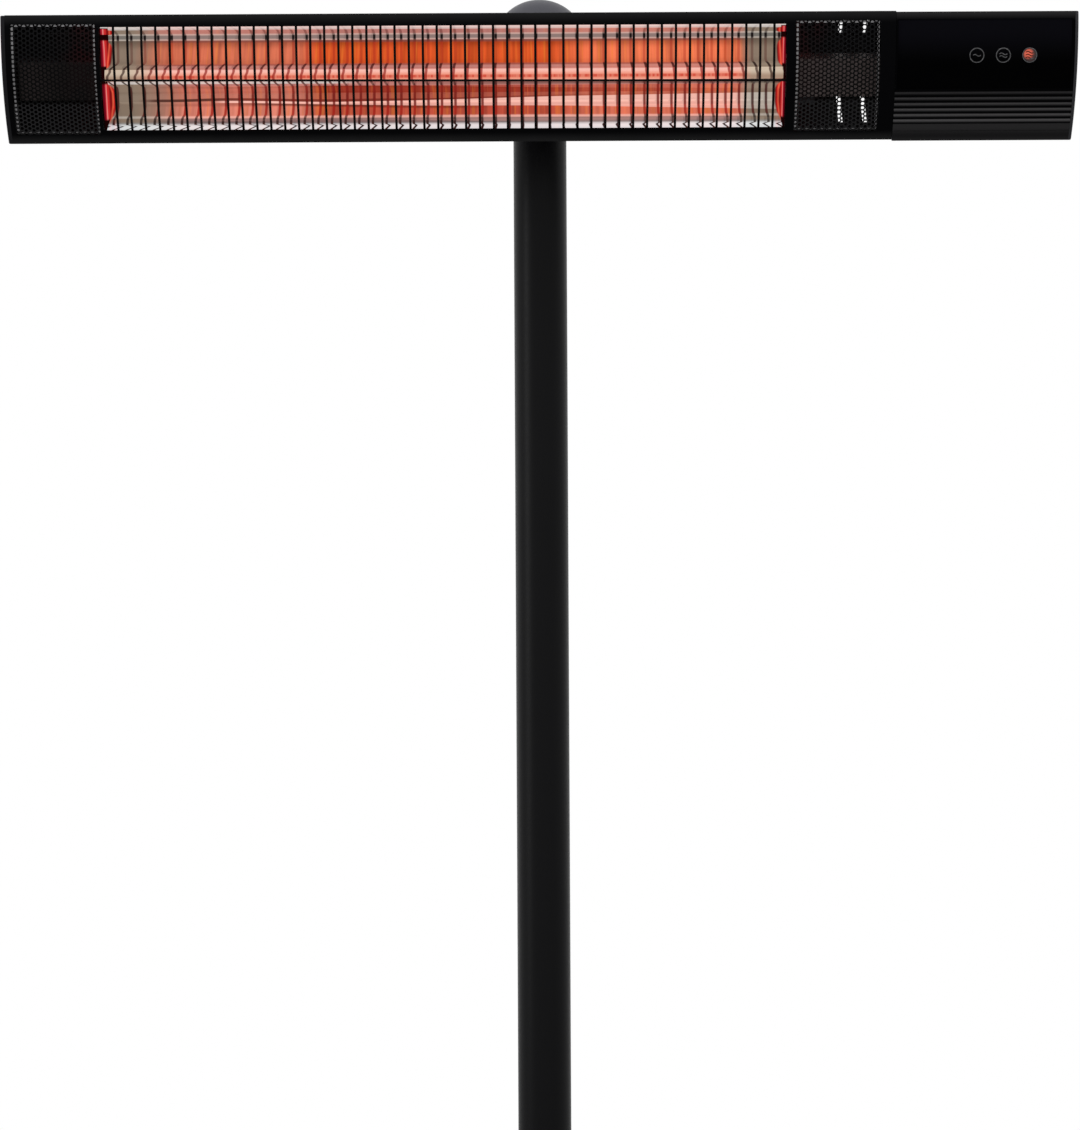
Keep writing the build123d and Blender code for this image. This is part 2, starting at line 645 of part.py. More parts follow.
def tilt_bracket():
    """Bracket on the head: a plate on the rail and two ears round the hinge bolt."""
    plate = block(
        -BRACKET_HALF_LENGTH,
        BRACKET_HALF_LENGTH,
        REAR_Y,
        BRACKET_BACK,
        -BRACKET_HALF_HEIGHT,
        BRACKET_HALF_HEIGHT,
    )
    plate = fillet(plate.edges().filter_by(Axis.Y), BRACKET_CORNER)
    reach = -REAR_Y
    ear = Circle(HINGE_EYE_R) + Pos(-reach / 2, 0) * Rectangle(reach, 2 * HINGE_EYE_R)
    lug = prism_x(ear, LUG_INNER, LUG_OUTER)
    bracket = plate + lug + lug.mirror(Plane.YZ)
    bracket -= rod_x(BOLT_R + LUG_BORE_FIT, -BRACKET_HALF_LENGTH, BRACKET_HALF_LENGTH)
    for x in (-RAIL_BOLT_X, RAIL_BOLT_X):
        bracket -= rod_y(RAIL_BOLT_R + FIT, REAR_Y - BITE, BRACKET_BACK + BITE, x)
    return bracket


def rail_bolts():
    """Bolts with their T nuts, which clamp the bracket to the extrusion's rail."""
    cavity_back = REAR_Y - (RAIL_DEPTH - RAIL_CAVITY_DEPTH) / 2
    bolts = []
    for x in (-RAIL_BOLT_X, RAIL_BOLT_X):
        head_plane = Plane.XZ.offset(-BRACKET_BACK) * Pos(x, 0)
        head = extrude(head_plane * RegularPolygon(RAIL_BOLT_HEAD_R, 6), -RAIL_BOLT_HEAD_THICK)
        shank = rod_y(RAIL_BOLT_R, cavity_back - RAIL_NUT_THICK, BRACKET_BACK, x)
        nut = block(
            x - RAIL_NUT_HALF,
            x + RAIL_NUT_HALF,
            cavity_back - RAIL_NUT_THICK,
            cavity_back,
            -RAIL_CAVITY_HALF + FIT,
            RAIL_CAVITY_HALF - FIT,
        )
        bolts.append(head + shank + nut)
    return Compound(bolts)


# ---------------------------------------------------------------- head shell
def ports(radius):
    """The extrusion's two screw channels, as a section."""
    y = CHORD_Y + PORT_DEPTH
    return Sketch() + [Pos(y, side * PORT_HALF_HEIGHT) * Circle(radius) for side in (-1, 1)]


def rail_section():
    """The T rail inside the rear wall, and its cavity, as two sections."""
    outer = Pos(REAR_Y - RAIL_DEPTH / 2, 0) * Rectangle(RAIL_DEPTH, 2 * RAIL_HALF_HEIGHT)
    lip = (RAIL_DEPTH - RAIL_CAVITY_DEPTH) / 2
    cavity = Pos(REAR_Y - lip - RAIL_CAVITY_DEPTH / 2, 0) * Rectangle(
        RAIL_CAVITY_DEPTH, 2 * RAIL_CAVITY_HALF
    )
    slot = Pos(REAR_Y - lip / 2, 0) * Rectangle(2 * lip, 2 * RAIL_SLOT_HALF)
    return outer, cavity + slot


def housing_shell():
    """Extruded aluminium body: thin walls, cooling fins, T rail and screw channels."""
    outline = head_outline()
    mouth = in_front_of(SHELL_WALL) & Pos(CHORD_Y, 0) * Rectangle(4 * FRONT_BULGE, 2 * MOUTH_HALF)
    wall = outline - offset(outline, -SHELL_WALL) - mouth
    rail, rail_cavity = rail_section()
    section = (wall + rail + (ports(PORT_R) & outline)) - rail_cavity - ports(PORT_BORE_R)
    section = section & front_disc(SKIN + FIT)
    fin_band = offset(outline, FIN_HEIGHT) - outline
    for k in range(FIN_COUNT):
        y = CHORD_Y + FIRST_FIN_DEPTH + k * FIN_PITCH
        section += fin_band & (Pos(y, 0) * Rectangle(FIN_THICK, 2 * HEAD_CHORD))
    shell = prism_x(section, SHELL_LEFT, SHELL_RIGHT)
    for x in VENT_XS:
        for side in (-1, 1):
            shell -= block(
                x - VENT_WIDTH / 2,
                x + VENT_WIDTH / 2,
                CHORD_Y + VENT_FIRST_DEPTH,
                0,
                side * VENT_INNER_HALF,
                side * HALF_CHORD,
            )
    return shell


def front_frame():
    """Formed sheet front with three windows and two return lips."""
    skin = prism_x(arc_band(0, SKIN, -HALF_CHORD, HALF_CHORD), SHELL_LEFT, SHELL_RIGHT)
    for window in (LEFT_WINDOW, GRILLE_WINDOW, RIGHT_WINDOW):
        skin -= window_cut(window)
    outline = head_outline()
    lip_inset = SHELL_WALL + FRAME_LIP_GAP
    lip = offset(outline, -lip_inset) - offset(outline, -lip_inset - SKIN)
    lip = Pos(SKIN / 2 - lip_inset, 0) * lip
    lip = (lip & front_disc(SKIN / 2)) & in_front_of(FRAME_LIP)
    lip -= Pos(CHORD_Y, 0) * Rectangle(4 * FRONT_BULGE, 2 * REFLECTOR_FLANGE_HALF + 4 * FIT)
    return skin + prism_x(lip, SHELL_LEFT + SPIGOT_DEPTH + FIT, SHELL_RIGHT - SPIGOT_DEPTH - FIT)


def mesh_panel(window):
    """Perforated sheet behind a window: a hexagonal lattice of hexagonal holes."""
    x_from, x_to, z_from, z_to = window
    lap = WINDOW_OVERLAP
    band = arc_band(SKIN + FIT, SKIN + FIT + MESH_THICK, z_from - lap, z_to + lap)
    sheet = prism_x(band, x_from - lap, x_to + lap)
    column_pitch = HOLE_PITCH * sqrt(3) / 2
    columns = int((x_to - x_from - 2 * MESH_BORDER) / column_pitch) + 1
    rows = int((z_to - z_from - 2 * MESH_BORDER) / HOLE_PITCH)
    first_x = (x_from + x_to - (columns - 1) * column_pitch) / 2
    first_z = (z_from + z_to - (rows - 0.5) * HOLE_PITCH) / 2
    holes = Sketch() + [
        Pos(first_x + i * column_pitch, first_z + (j + 0.5 * (i % 2)) * HOLE_PITCH)
        * RegularPolygon(HOLE_R, 6)
        for i in range(columns)
        for j in range(rows)
    ]
    return sheet - extrude(Plane.XZ.offset(-CHORD_Y - FRONT_BULGE) * holes, 3 * FRONT_BULGE)


def spigot(outline, x_from, x_to, wall):
    """Lip of a cap that goes inside the extrusion, clear of its rail and channels."""
    lip = offset(outline, -wall - FIT) - offset(outline, -wall - FIT - SPIGOT_WALL)
    lip = lip - in_front_of(FRAME_LIP / 2)
    rail, _ = rail_section()
    lip -= offset(rail, 2 * FIT)
    lip -= ports(PORT_R + 2 * FIT)
    return prism_x(lip, x_from, x_to)


def port_holes(x_from, x_to, radius):
    return prism_x(ports(radius), x_from, x_to)


def left_end_cap():
    """Moulded cap with a rounded rim and a lip inside the extrusion."""
    plate = prism_x(head_outline(), LEFT_END, SHELL_LEFT)
    plate = fillet(plate.edges().group_by(Axis.X)[0], CAP_EDGE_ROUND)
    cap = plate + spigot(head_outline(), SHELL_LEFT - BITE, SHELL_LEFT + SPIGOT_DEPTH, SHELL_WALL)
    return cap - port_holes(LEFT_END - BITE, SHELL_LEFT + BITE, PORT_BORE_R + FIT)


def pan_screws(face_x, outward):
    """Two pan-head screws in the screw channels, heads on the face at face_x."""
    y = CHORD_Y + PORT_DEPTH
    screws = []
    for side in (-1, 1):
        z = side * PORT_HALF_HEIGHT
        head = rod_x(SCREW_HEAD_R, face_x, face_x + outward * SCREW_HEAD_THICK, y, z)
        rim = head.edges().sort_by(Axis.X)[0 if outward < 0 else -1]
        head = chamfer(rim, SCREW_HEAD_CHAMFER)
        shank = rod_x(PORT_BORE_R - FIT / 2, face_x, face_x - outward * SCREW_LENGTH, y, z)
        screws.append(head + shank)
    return Compound(screws)


def end_cap_screws():
    """Screws through the left cap into the extrusion's channels."""
    return pan_screws(LEFT_END, -1)


# ---------------------------------------------------------------- grille
def about_front(shape, angle):
    """Turns a piece about the axis that the front's curve is drawn round."""
    return shape.rotate(Axis((0, ARC_Y, 0), (1, 0, 0)), angle)


def angle_at(z, radius):
    """Turn about the front's axis that lowers a point from the middle to height z."""
    return -degrees(asin(z / radius))


def grille_wires():
    """Curved wires across the opening, one every WIRE_PITCH."""
    low = GRILLE_WINDOW[2] - WIRE_OVERLAP
    high = GRILLE_WINDOW[3] + WIRE_OVERLAP
    start = angle_at(high, WIRE_ARC_R)
    sweep_angle = angle_at(low, WIRE_ARC_R) - start
    end = about_front(Pos(0, ARC_Y - WIRE_ARC_R, 0) * RegularPolygon(WIRE_R, 6), start)
    wire = revolve(end, Axis((0, ARC_Y, 0), (1, 0, 0)), revolution_arc=sweep_angle)
    first_x = GRILLE_MID_X - (WIRE_COUNT - 1) * WIRE_PITCH / 2
    return Compound([Pos(first_x + k * WIRE_PITCH, 0, 0) * wire for k in range(WIRE_COUNT)])


def cross_wires():
    """Three straight wires welded behind the curved ones: two at the rails and one between."""
    wires = []
    low = GRILLE_WINDOW[2] - CROSS_WIRE_OVERLAP
    high = GRILLE_WINDOW[3] + CROSS_WIRE_OVERLAP
    for z in (low, CROSS_WIRE_Z, high):
        y = ARC_Y - sqrt(CROSS_ARC_R**2 - z**2)
        x_from = GRILLE_WINDOW[0] - CROSS_WIRE_END
        wires.append(rod_x(WIRE_R, x_from, GRILLE_WINDOW[1] + CROSS_WIRE_END, y, z))
    return Compound(wires)


# ---------------------------------------------------------------- reflector and lamp
def reflector_hollow():
    """The space in front of the W reflector: two troughs and a rounded ridge between them."""
    shoulder_y = CHORD_Y + REFLECTOR_SHOULDER[0]
    trough_y = CHORD_Y + TROUGH_DEPTH
    ridge_y = CHORD_Y + RIDGE_DEPTH
    half = [
        (CHORD_Y - FRONT_BULGE, REFLECTOR_LIP_HALF),
        (CHORD_Y, REFLECTOR_LIP_HALF),
        (shoulder_y, REFLECTOR_SHOULDER[1]),
        (trough_y, TROUGH_HALF_HIGH),
        (trough_y, TROUGH_HALF_LOW),
        (ridge_y, RIDGE_HALF),
    ]
    lower = [(y, -z) for y, z in reversed(half)]
    hollow = make_face(Polyline(*half, *lower, close=True))
    corners = hollow.vertices()
    troughs = [v for v in corners if abs(v.X - trough_y) < FIT]
    ridge = [v for v in corners if abs(v.X - ridge_y) < FIT and abs(v.Y) < TROUGH_HALF_LOW]
    hollow = fillet(troughs, TROUGH_ROUND)
    ridge = [v for v in hollow.vertices() if abs(v.X - ridge_y) < FIT and abs(v.Y) < RIDGE_HALF + FIT]
    hollow = fillet(ridge, RIDGE_ROUND)
    shoulders = [v for v in hollow.vertices() if abs(v.X - shoulder_y) < FIT]
    return fillet(shoulders, 2 * TROUGH_ROUND)


def flange_inset():
    return FRONT_R - FLANGE_OUTER_R


def reflector():
    """Polished W sheet with a flange at its top and bottom lips."""
    hollow = reflector_hollow()
    sheet = (offset(hollow, SHEET) - hollow) & front_disc(flange_inset())
    flanges = arc_band(
        flange_inset(), flange_inset() + SHEET, -REFLECTOR_FLANGE_HALF, REFLECTOR_FLANGE_HALF
    )
    flanges -= Pos(CHORD_Y, 0) * Rectangle(6 * FRONT_BULGE, 2 * REFLECTOR_LIP_HALF)
    return prism_x(sheet + flanges, REFLECTOR_LEFT, REFLECTOR_RIGHT)


def reflector_end(x_from, x_to):
    """Polished end plate with a round hole for the lamp."""
    plate = offset(reflector_hollow(), SHEET) & front_disc(flange_inset())
    plate -= Pos(LAMP_Y, 0) * Circle(LAMP_R + LAMP_HOLE_FIT)
    return prism_x(plate, x_from, x_to)


def lamp_tube():
    """Quartz tube, hollow, with a flat pinch seal at each end."""
    tube = rod_x(LAMP_R, LAMP_LEFT, LAMP_RIGHT, LAMP_Y)
    tube -= rod_x(LAMP_R - LAMP_WALL, LAMP_LEFT + LAMP_R, LAMP_RIGHT - LAMP_R, LAMP_Y)
    for x_from, x_to in (
        (LAMP_LEFT - PINCH_LENGTH, LAMP_LEFT + LAMP_R / 2),
        (LAMP_RIGHT - LAMP_R / 2, LAMP_RIGHT + PINCH_LENGTH),
    ):
        tube += block(
            x_from,
            x_to,
            LAMP_Y - PINCH_THICK / 2,
            LAMP_Y + PINCH_THICK / 2,
            -PINCH_HEIGHT / 2,
            PINCH_HEIGHT / 2,
        )
    return tube


def lamp_filament():
    """The glowing coil as its envelope, with the rings that keep it off the glass."""
    x_from = LAMP_LEFT + LAMP_R + FIT
    x_to = LAMP_RIGHT - LAMP_R - FIT
    coil = rod_x(COIL_R, x_from, x_to, LAMP_Y)
    count = int((x_to - x_from) / COIL_RING_PITCH)
    first = (x_from + x_to - (count - 1) * COIL_RING_PITCH) / 2
    for k in range(count):
        x = first + k * COIL_RING_PITCH
        coil += prism_x(
            Pos(LAMP_Y, 0) * RegularPolygon(COIL_RING_R, 8), x, x + COIL_RING_THICK
        )
    return coil


def lamp_holder(side):
    """Ceramic block that grips a pinch seal; side is -1 at the left and 1 at the right."""
    lamp_end = LAMP_LEFT if side < 0 else LAMP_RIGHT
    inner = lamp_end + side * FIT
    holder = block(
        inner,
        inner + side * HOLDER_LENGTH,
        LAMP_Y - HOLDER_HALF_DEPTH,
        LAMP_Y + HOLDER_HALF_DEPTH,
        -HOLDER_HALF_HEIGHT,
        HOLDER_HALF_HEIGHT,
    )
    holder = fillet(holder.edges().filter_by(Axis.X), HOLDER_ROUND)
    seat = block(
        lamp_end - side * BITE,
        lamp_end + side * (PINCH_LENGTH + FIT),
        LAMP_Y - PINCH_THICK / 2 - FIT,
        LAMP_Y + PINCH_THICK / 2 + FIT,
        -PINCH_HEIGHT / 2 - FIT,
        PINCH_HEIGHT / 2 + FIT,
    )
    groove_x = inner + side * HOLDER_LENGTH * 0.75
    groove_width, groove_depth = HOLDER_GROOVE
    groove = block(
        groove_x - groove_width / 2,
        groove_x + groove_width / 2,
        LAMP_Y + HOLDER_HALF_DEPTH - groove_depth,
        LAMP_Y + HOLDER_HALF_DEPTH + BITE,
        -2 * HOLDER_HALF_HEIGHT,
        2 * HOLDER_HALF_HEIGHT,
    )
    return holder - seat - groove


def lamp_channel(side):
    """Folded steel channel behind a mesh, which carries the ceramic holder."""
    inner = (REFLECTOR_LEFT if side < 0 else REFLECTOR_RIGHT) + side * (FIT + SHEET)
    outer = (SHELL_LEFT if side < 0 else MODULE_LEFT) - side * (SPIGOT_DEPTH + CHANNEL_END_GAP)
    front = channel_front()
    low, high = CHANNEL_ZS
    outside = block(inner, outer, front, front + CHANNEL_DEPTH, low, high)
    inside = block(
        inner - side * BITE,
        outer + side * BITE,
        front + CHANNEL_SHEET,
        front + 2 * CHANNEL_DEPTH,
        low + CHANNEL_SHEET,
        high - CHANNEL_SHEET,
    )
    channel = outside - inside
    holder_x = (LAMP_LEFT if side < 0 else LAMP_RIGHT) + side * (FIT + HOLDER_LENGTH / 2)
    for flange, seat in ((low + CHANNEL_SHEET / 2, -1), (high - CHANNEL_SHEET / 2, 1)):
        channel += block(
            holder_x - PAD_LENGTH / 2,
            holder_x + PAD_LENGTH / 2,
            front + CHANNEL_SHEET / 2,
            front + PAD_DEPTH,
            seat * (HOLDER_HALF_HEIGHT + FIT),
            flange,
        )
    return channel


def channel_front():
    return LAMP_Y - HOLDER_HALF_DEPTH - CHANNEL_SHEET - FIT


def overheat_cutout():
    """Thermal cut-out under the right channel, with its two blade terminals."""
    width, depth, height = CUTOUT_SIZE
    x_from = REFLECTOR_RIGHT + CUTOUT_INSET
    y_from = channel_front() + CUTOUT_SETBACK
    top = CHANNEL_ZS[0]
    case = block(x_from, x_from + width, y_from, y_from + depth, top - height, top)
    thick, broad, long = BLADE_SIZE
    for x in (x_from + width / 4, x_from + width * 3 / 4):
        blade = Pos(x, y_from + depth / 2, top - height - long / 2) * Box(thick, broad, long)
        case += blade
    return case


def lead(points):
    """A sleeved wire along straight runs joined by arcs of LEAD_BEND."""
    path = FilletPolyline(*points, radius=LEAD_BEND)
    start = Plane(origin=path @ 0, z_dir=path % 0)
    return sweep(start * RegularPolygon(LEAD_R, 8), path=path)


def lamp_lead_left():
    """Sleeved wire from the left holder, along the back of the reflector's ridge."""
    holder_end = LAMP_LEFT - FIT - HOLDER_LENGTH
    block_back = board_back() + BLOCK_SIZE[1]
    socket_z = BLOCK_TOP - BLOCK_SIZE[2] / 2
    return lead(
        [
            (holder_end, LAMP_Y, 0),
            (holder_end - LEAD_LOOP, LAMP_Y, 0),
            (holder_end - LEAD_LOOP, LEAD_LANE_Y, 0),
            (BLOCK_X - BLOCK_SIZE[0], LEAD_LANE_Y, 0),
            (BLOCK_X, LEAD_LANE_Y, socket_z),
            (BLOCK_X, block_back, socket_z),
        ]
    )


def lamp_lead_right():
    """Sleeved wire from the right holder to the terminal block."""
    holder_end = LAMP_RIGHT + FIT + HOLDER_LENGTH
    block_back = board_back() + BLOCK_SIZE[1]
    socket_x = BLOCK_X - BLOCK_SIZE[0] / BLOCK_WAYS
    socket_z = BLOCK_TOP - BLOCK_SIZE[2] / 2
    lane_y = LEAD_LANE_Y - 5 * LEAD_R
    return lead(
        [
            (holder_end, LAMP_Y, 0),
            (holder_end + 2 * LEAD_BEND, LAMP_Y, 0),
            (holder_end + 4 * LEAD_BEND, lane_y, socket_z),
            (socket_x, lane_y, socket_z),
            (socket_x, block_back, socket_z),
        ]
    )


# ---------------------------------------------------------------- control module
def module_front_y(z, inset=0.0):
    """Y of the module's front at a height."""
    return ARC_Y - sqrt((FRONT_R + MODULE_PROUD - inset) ** 2 - (z + MODULE_DROP) ** 2)


def module_band(outer_inset, inner_inset, z_low, z_high):
    """A strip of the module's front between two insets and two heights."""
    band = arc_band(
        outer_inset - MODULE_PROUD, inner_inset - MODULE_PROUD, z_low + MODULE_DROP, z_high + MODULE_DROP
    )
    return Pos(0, -MODULE_DROP) * band


def ribbed_outline():
    """The module's section with its rounded ribs, whose crests lie in its front."""
    across = (RIB_LOW_Z, RIB_TOP_Z)
    bars = Sketch() + [
        Pos(module_front_y(z) + RIB_ROUND, z) * Circle(RIB_ROUND)
        for z in [RIB_LOW_Z + (k + 0.5) * RIB_PITCH for k in range(RIB_COUNT)]
    ]
    ribs = bars & module_band(-RIB_HEIGHT, RIB_HEIGHT + RIB_ROOT, *across)
    return module_outline() - module_band(-RIB_HEIGHT, RIB_HEIGHT, *across) + ribs


def control_module_shell():
    """Moulded module: panel recess, rounded ribs and a lip inside the extrusion."""
    outline = module_outline()
    hollow = offset(outline, -MODULE_WALL)
    front_wall = Pos(0, -MODULE_DROP) * front_disc(MODULE_FRONT_WALL - MODULE_PROUD)
    shell = prism_x(ribbed_outline() - (hollow & front_wall), MODULE_LEFT, END_PLATE_LEFT - FIT)
    x_from, x_to, z_from, z_to = PANEL_WINDOW
    shell -= prism_x(module_band(-BITE, PANEL_RECESS, z_from, z_to), x_from, x_to)
    shell -= rod_x(BAND_STEP_R, MODULE_LEFT - BITE, RIGHT_END, module_front_y(BAND_STEP_Z), BAND_STEP_Z)
    for x in ICON_XS:
        shell -= rod_y(PIPE_R + PIPE_FIT, CHORD_Y - 2 * FRONT_BULGE, CHORD_Y, x, ICON_Z)
    shell -= rod_y(RECEIVER_LENS_R + FIT, CHORD_Y - 2 * FRONT_BULGE, CHORD_Y, RECEIVER_X, ICON_Z)
    shell += board_posts() + module_bosses()
    joint = spigot(head_outline(), MODULE_LEFT - SPIGOT_DEPTH, MODULE_LEFT + BITE, SHELL_WALL)
    web = (outline & offset(head_outline(), -SHELL_WALL - FIT)) - offset(
        head_outline(), -SHELL_WALL - 4 * SPIGOT_WALL
    )
    web = web & (Pos(0, -MODULE_DROP) * front_disc(MODULE_FRONT_WALL - MODULE_PROUD - BITE))
    shell += joint + prism_x(web, MODULE_LEFT, MODULE_LEFT + SPIGOT_WALL)
    shell -= port_holes(END_PLATE_LEFT - BOSS_LENGTH, END_PLATE_LEFT, PORT_BORE_R)
    shell -= rod_y(GLAND_R + GLAND_FIT, REAR_Y - 2 * MODULE_WALL, REAR_Y + 2 * MODULE_WALL, GLAND_X)
    return shell


def board_posts():
    """Posts from the module's front wall to the board's corners."""
    board_front = CHORD_Y + BOARD_DEPTH
    posts = []
    for x in (BOARD_XS[0] + BOARD_POST_INSET, BOARD_XS[1] - BOARD_POST_INSET):
        for z in (BOARD_ZS[0] + BOARD_POST_INSET, BOARD_ZS[1] - BOARD_POST_INSET):
            wall = module_front_y(z, MODULE_FRONT_WALL - BITE)
            posts.append(rod_y(BOARD_POST_R, wall, board_front, x, z))
    return Part() + posts


def module_bosses():
    """Screw bosses at the module's right end, in line with the extrusion's channels."""
    boss = ports(BOSS_R) & offset(module_outline(), -MODULE_WALL / 2)
    section = boss - ports(PORT_BORE_R)
    return prism_x(section, END_PLATE_LEFT - FIT - BOSS_LENGTH, END_PLATE_LEFT - FIT)


def display_panel():
    """Dark glossy panel set into the module's front, with softened edges."""
    x_from, x_to, z_from, z_to = PANEL_WINDOW
    gap = PANEL_FIT
    inner = PANEL_RECESS
    band = module_band(inner - PANEL_THICK, inner, z_from + gap, z_to - gap)
    return prism_x(band, x_from + gap, x_to - gap)


def indicator_lights():
    """Clear pipes that carry each heat level's light from the board to the panel."""
    back = CHORD_Y + BOARD_DEPTH
    pipes = []
    for x in ICON_XS:
        pipe = rod_y(PIPE_R, CHORD_Y - 2 * FRONT_BULGE, back, x, ICON_Z)
        behind_panel = Pos(0, -MODULE_DROP) * front_disc(PANEL_RECESS - MODULE_PROUD + FIT / 2)
        pipes.append(pipe & prism_x(behind_panel, x - 2 * PIPE_R, x + 2 * PIPE_R))
    return Compound([pipe.solids()[0] for pipe in pipes])


def control_board():
    """Circuit board behind the panel, on the module's four posts."""
    y = CHORD_Y + BOARD_DEPTH
    return block(BOARD_XS[0], BOARD_XS[1], y, y + BOARD_THICK, BOARD_ZS[0], BOARD_ZS[1])


def board_back():
    return CHORD_Y + BOARD_DEPTH + BOARD_THICK


def on_board(x, z, size):
    """A box that stands on the board's rear face."""
    back = board_back()
    return block(x - size[0] / 2, x + size[0] / 2, back, back + size[1], z - size[2] / 2, z + size[2] / 2)


def remote_receiver():
    """Infrared eye on the board's front face."""
    front = CHORD_Y + BOARD_DEPTH
    width, depth, height = RECEIVER_SIZE
    case = block(
        RECEIVER_X - width / 2,
        RECEIVER_X + width / 2,
        front - depth,
        front,
        ICON_Z - height / 2,
        ICON_Z + height / 2,
    )
    return case + Pos(RECEIVER_X, front - depth, ICON_Z) * Sphere(RECEIVER_LENS_R)


def tip_over_switch():
    """Ball-type switch that cuts the power when the heater leans."""
    size = TIP_SWITCH_SIZE
    case = on_board(TIP_SWITCH_X, CASE_Z, size)
    case_back = board_back() + size[1]
    return case + rod_y(size[0] / 3, case_back, case_back + TIP_CUP_HEIGHT, TIP_SWITCH_X, CASE_Z)


def power_relay():
    return on_board(RELAY_X, CASE_Z, RELAY_SIZE)


def terminal_block():
    """Ceramic block where the mains lead meets the heater's wires."""
    width, depth, height = BLOCK_SIZE
    back = board_back()
    left = BLOCK_X - width / 2
    case = block(left, left + width, back, back + depth, BLOCK_TOP - height, BLOCK_TOP)
    for k in range(BLOCK_WAYS):
        x = left + (k + 0.5) * width / BLOCK_WAYS
        screw_z = BLOCK_TOP - height
        case -= Pos(x, back + depth / 2, screw_z) * Cylinder(BLOCK_SCREW_R, height / 2)
    return case


def cable_gland():
    """Gland through the module's rear wall: sleeve, hexagon and chamfered nut."""
    seat = REAR_Y + MODULE_PROUD
    hexagon = extrude(Plane.XZ.offset(-seat) * RegularPolygon(GLAND_HEX_R, 6), -GLAND_HEX_THICK)
    nut_back = seat + GLAND_HEX_THICK + GLAND_NUT_LENGTH
    nut = rod_y(GLAND_NUT_R, seat + GLAND_HEX_THICK, nut_back)
    nut = chamfer(nut.edges().group_by(Axis.Y)[-1], GLAND_NUT_CHAMFER)
    sleeve = rod_y(GLAND_R, seat - GLAND_INNER_LENGTH, seat)
    bore = rod_y(GLAND_BORE_R, seat - 2 * GLAND_INNER_LENGTH, nut_back + BITE)
    gland = hexagon + nut + sleeve - bore
    return Pos(GLAND_X, 0, 0) * gland


# ---------------------------------------------------------------- end plate and power switch
def switch_opening(extra):
    """The rocker's well in the end plate, as an (Y, Z) section."""
    width = 2 * (ROCKER_HALF_WIDTH + ROCKER_FIT + SWITCH_BEZEL / 2 + extra)
    height = 2 * (ROCKER_R + ROCKER_FIT + SWITCH_BEZEL / 2 + extra)
    return Pos(SWITCH_Y, 0) * Rectangle(width, height)


def module_end_plate():
    """Right-hand cover of the module, with a rounded rim and the switch's cut-out."""
    plate = prism_x(module_outline(), END_PLATE_LEFT, RIGHT_END)
    plate = fillet(plate.edges().group_by(Axis.X)[-1], CAP_EDGE_ROUND)
    outline = module_outline()
    lip = offset(outline, -MODULE_WALL - FIT) - offset(outline, -MODULE_WALL - FIT - SPIGOT_WALL)
    lip = lip & (Pos(0, -MODULE_DROP) * front_disc(MODULE_FRONT_WALL + FIT))
    lip -= ports(BOSS_R + FIT)
    plate += prism_x(lip, END_PLATE_LEFT - END_LIP, END_PLATE_LEFT + BITE)
    plate -= port_holes(END_PLATE_LEFT - BITE, RIGHT_END + BITE, PORT_BORE_R + FIT)
    return plate - prism_x(switch_opening(FIT), END_PLATE_LEFT - END_LIP - BITE, RIGHT_END + BITE)


def module_screws():
    """Pan-head screws through the end plate into the module's bosses."""
    return pan_screws(RIGHT_END, 1)


def switch_body():
    """Switch case: bezel outside, box inside, and a well for the rocker."""
    bezel = prism_x(switch_opening(SWITCH_BEZEL / 2), RIGHT_END, RIGHT_END + SWITCH_BEZEL_THICK)
    case = prism_x(switch_opening(0), RIGHT_END - SWITCH_BODY_DEPTH, RIGHT_END)
    well = block(
        RIGHT_END - SWITCH_WELL_DEPTH,
        RIGHT_END + SWITCH_WELL_DEPTH,
        SWITCH_Y - ROCKER_HALF_WIDTH - ROCKER_FIT,
        SWITCH_Y + ROCKER_HALF_WIDTH + ROCKER_FIT,
        -ROCKER_R - ROCKER_FIT,
        ROCKER_R + ROCKER_FIT,
    )
    reach = ROCKER_HALF_WIDTH + ROCKER_PIN_LENGTH + 2 * FIT
    pin_hole = rod_y(
        ROCKER_PIN_R + BOLT_BORE_FIT, SWITCH_Y - reach, SWITCH_Y + reach, ROCKER_PIVOT_X
    )
    return bezel + case - well - pin_hole


def power_rocker():
    """Rocker of the mains switch, pressed in at its upper end when on."""
    rocker = extrude(Plane.XZ * Circle(ROCKER_R), ROCKER_HALF_WIDTH, both=True)
    half_turn = ROCKER_TURN / 2
    for side in (-1, 1):
        cutter = Box(
            2 * ROCKER_R,
            4 * ROCKER_R,
            4 * ROCKER_R,
            align=(Align.MIN, Align.CENTER, Align.CENTER),
        )
        rocker -= Pos(ROCKER_CREST, 0, 0) * Rot(0, side * half_turn, 0) * cutter
    back = Box(2 * ROCKER_R, 4 * ROCKER_R, 4 * ROCKER_R, align=(Align.MAX, Align.CENTER, Align.CENTER))
    rocker -= Pos(-ROCKER_CREST, 0, 0) * back
    pin_reach = ROCKER_HALF_WIDTH + ROCKER_PIN_LENGTH
    rocker += rod_y(ROCKER_PIN_R, -pin_reach, pin_reach)
    return Pos(ROCKER_PIVOT_X, SWITCH_Y, 0) * Rot(0, -half_turn, 0) * rocker


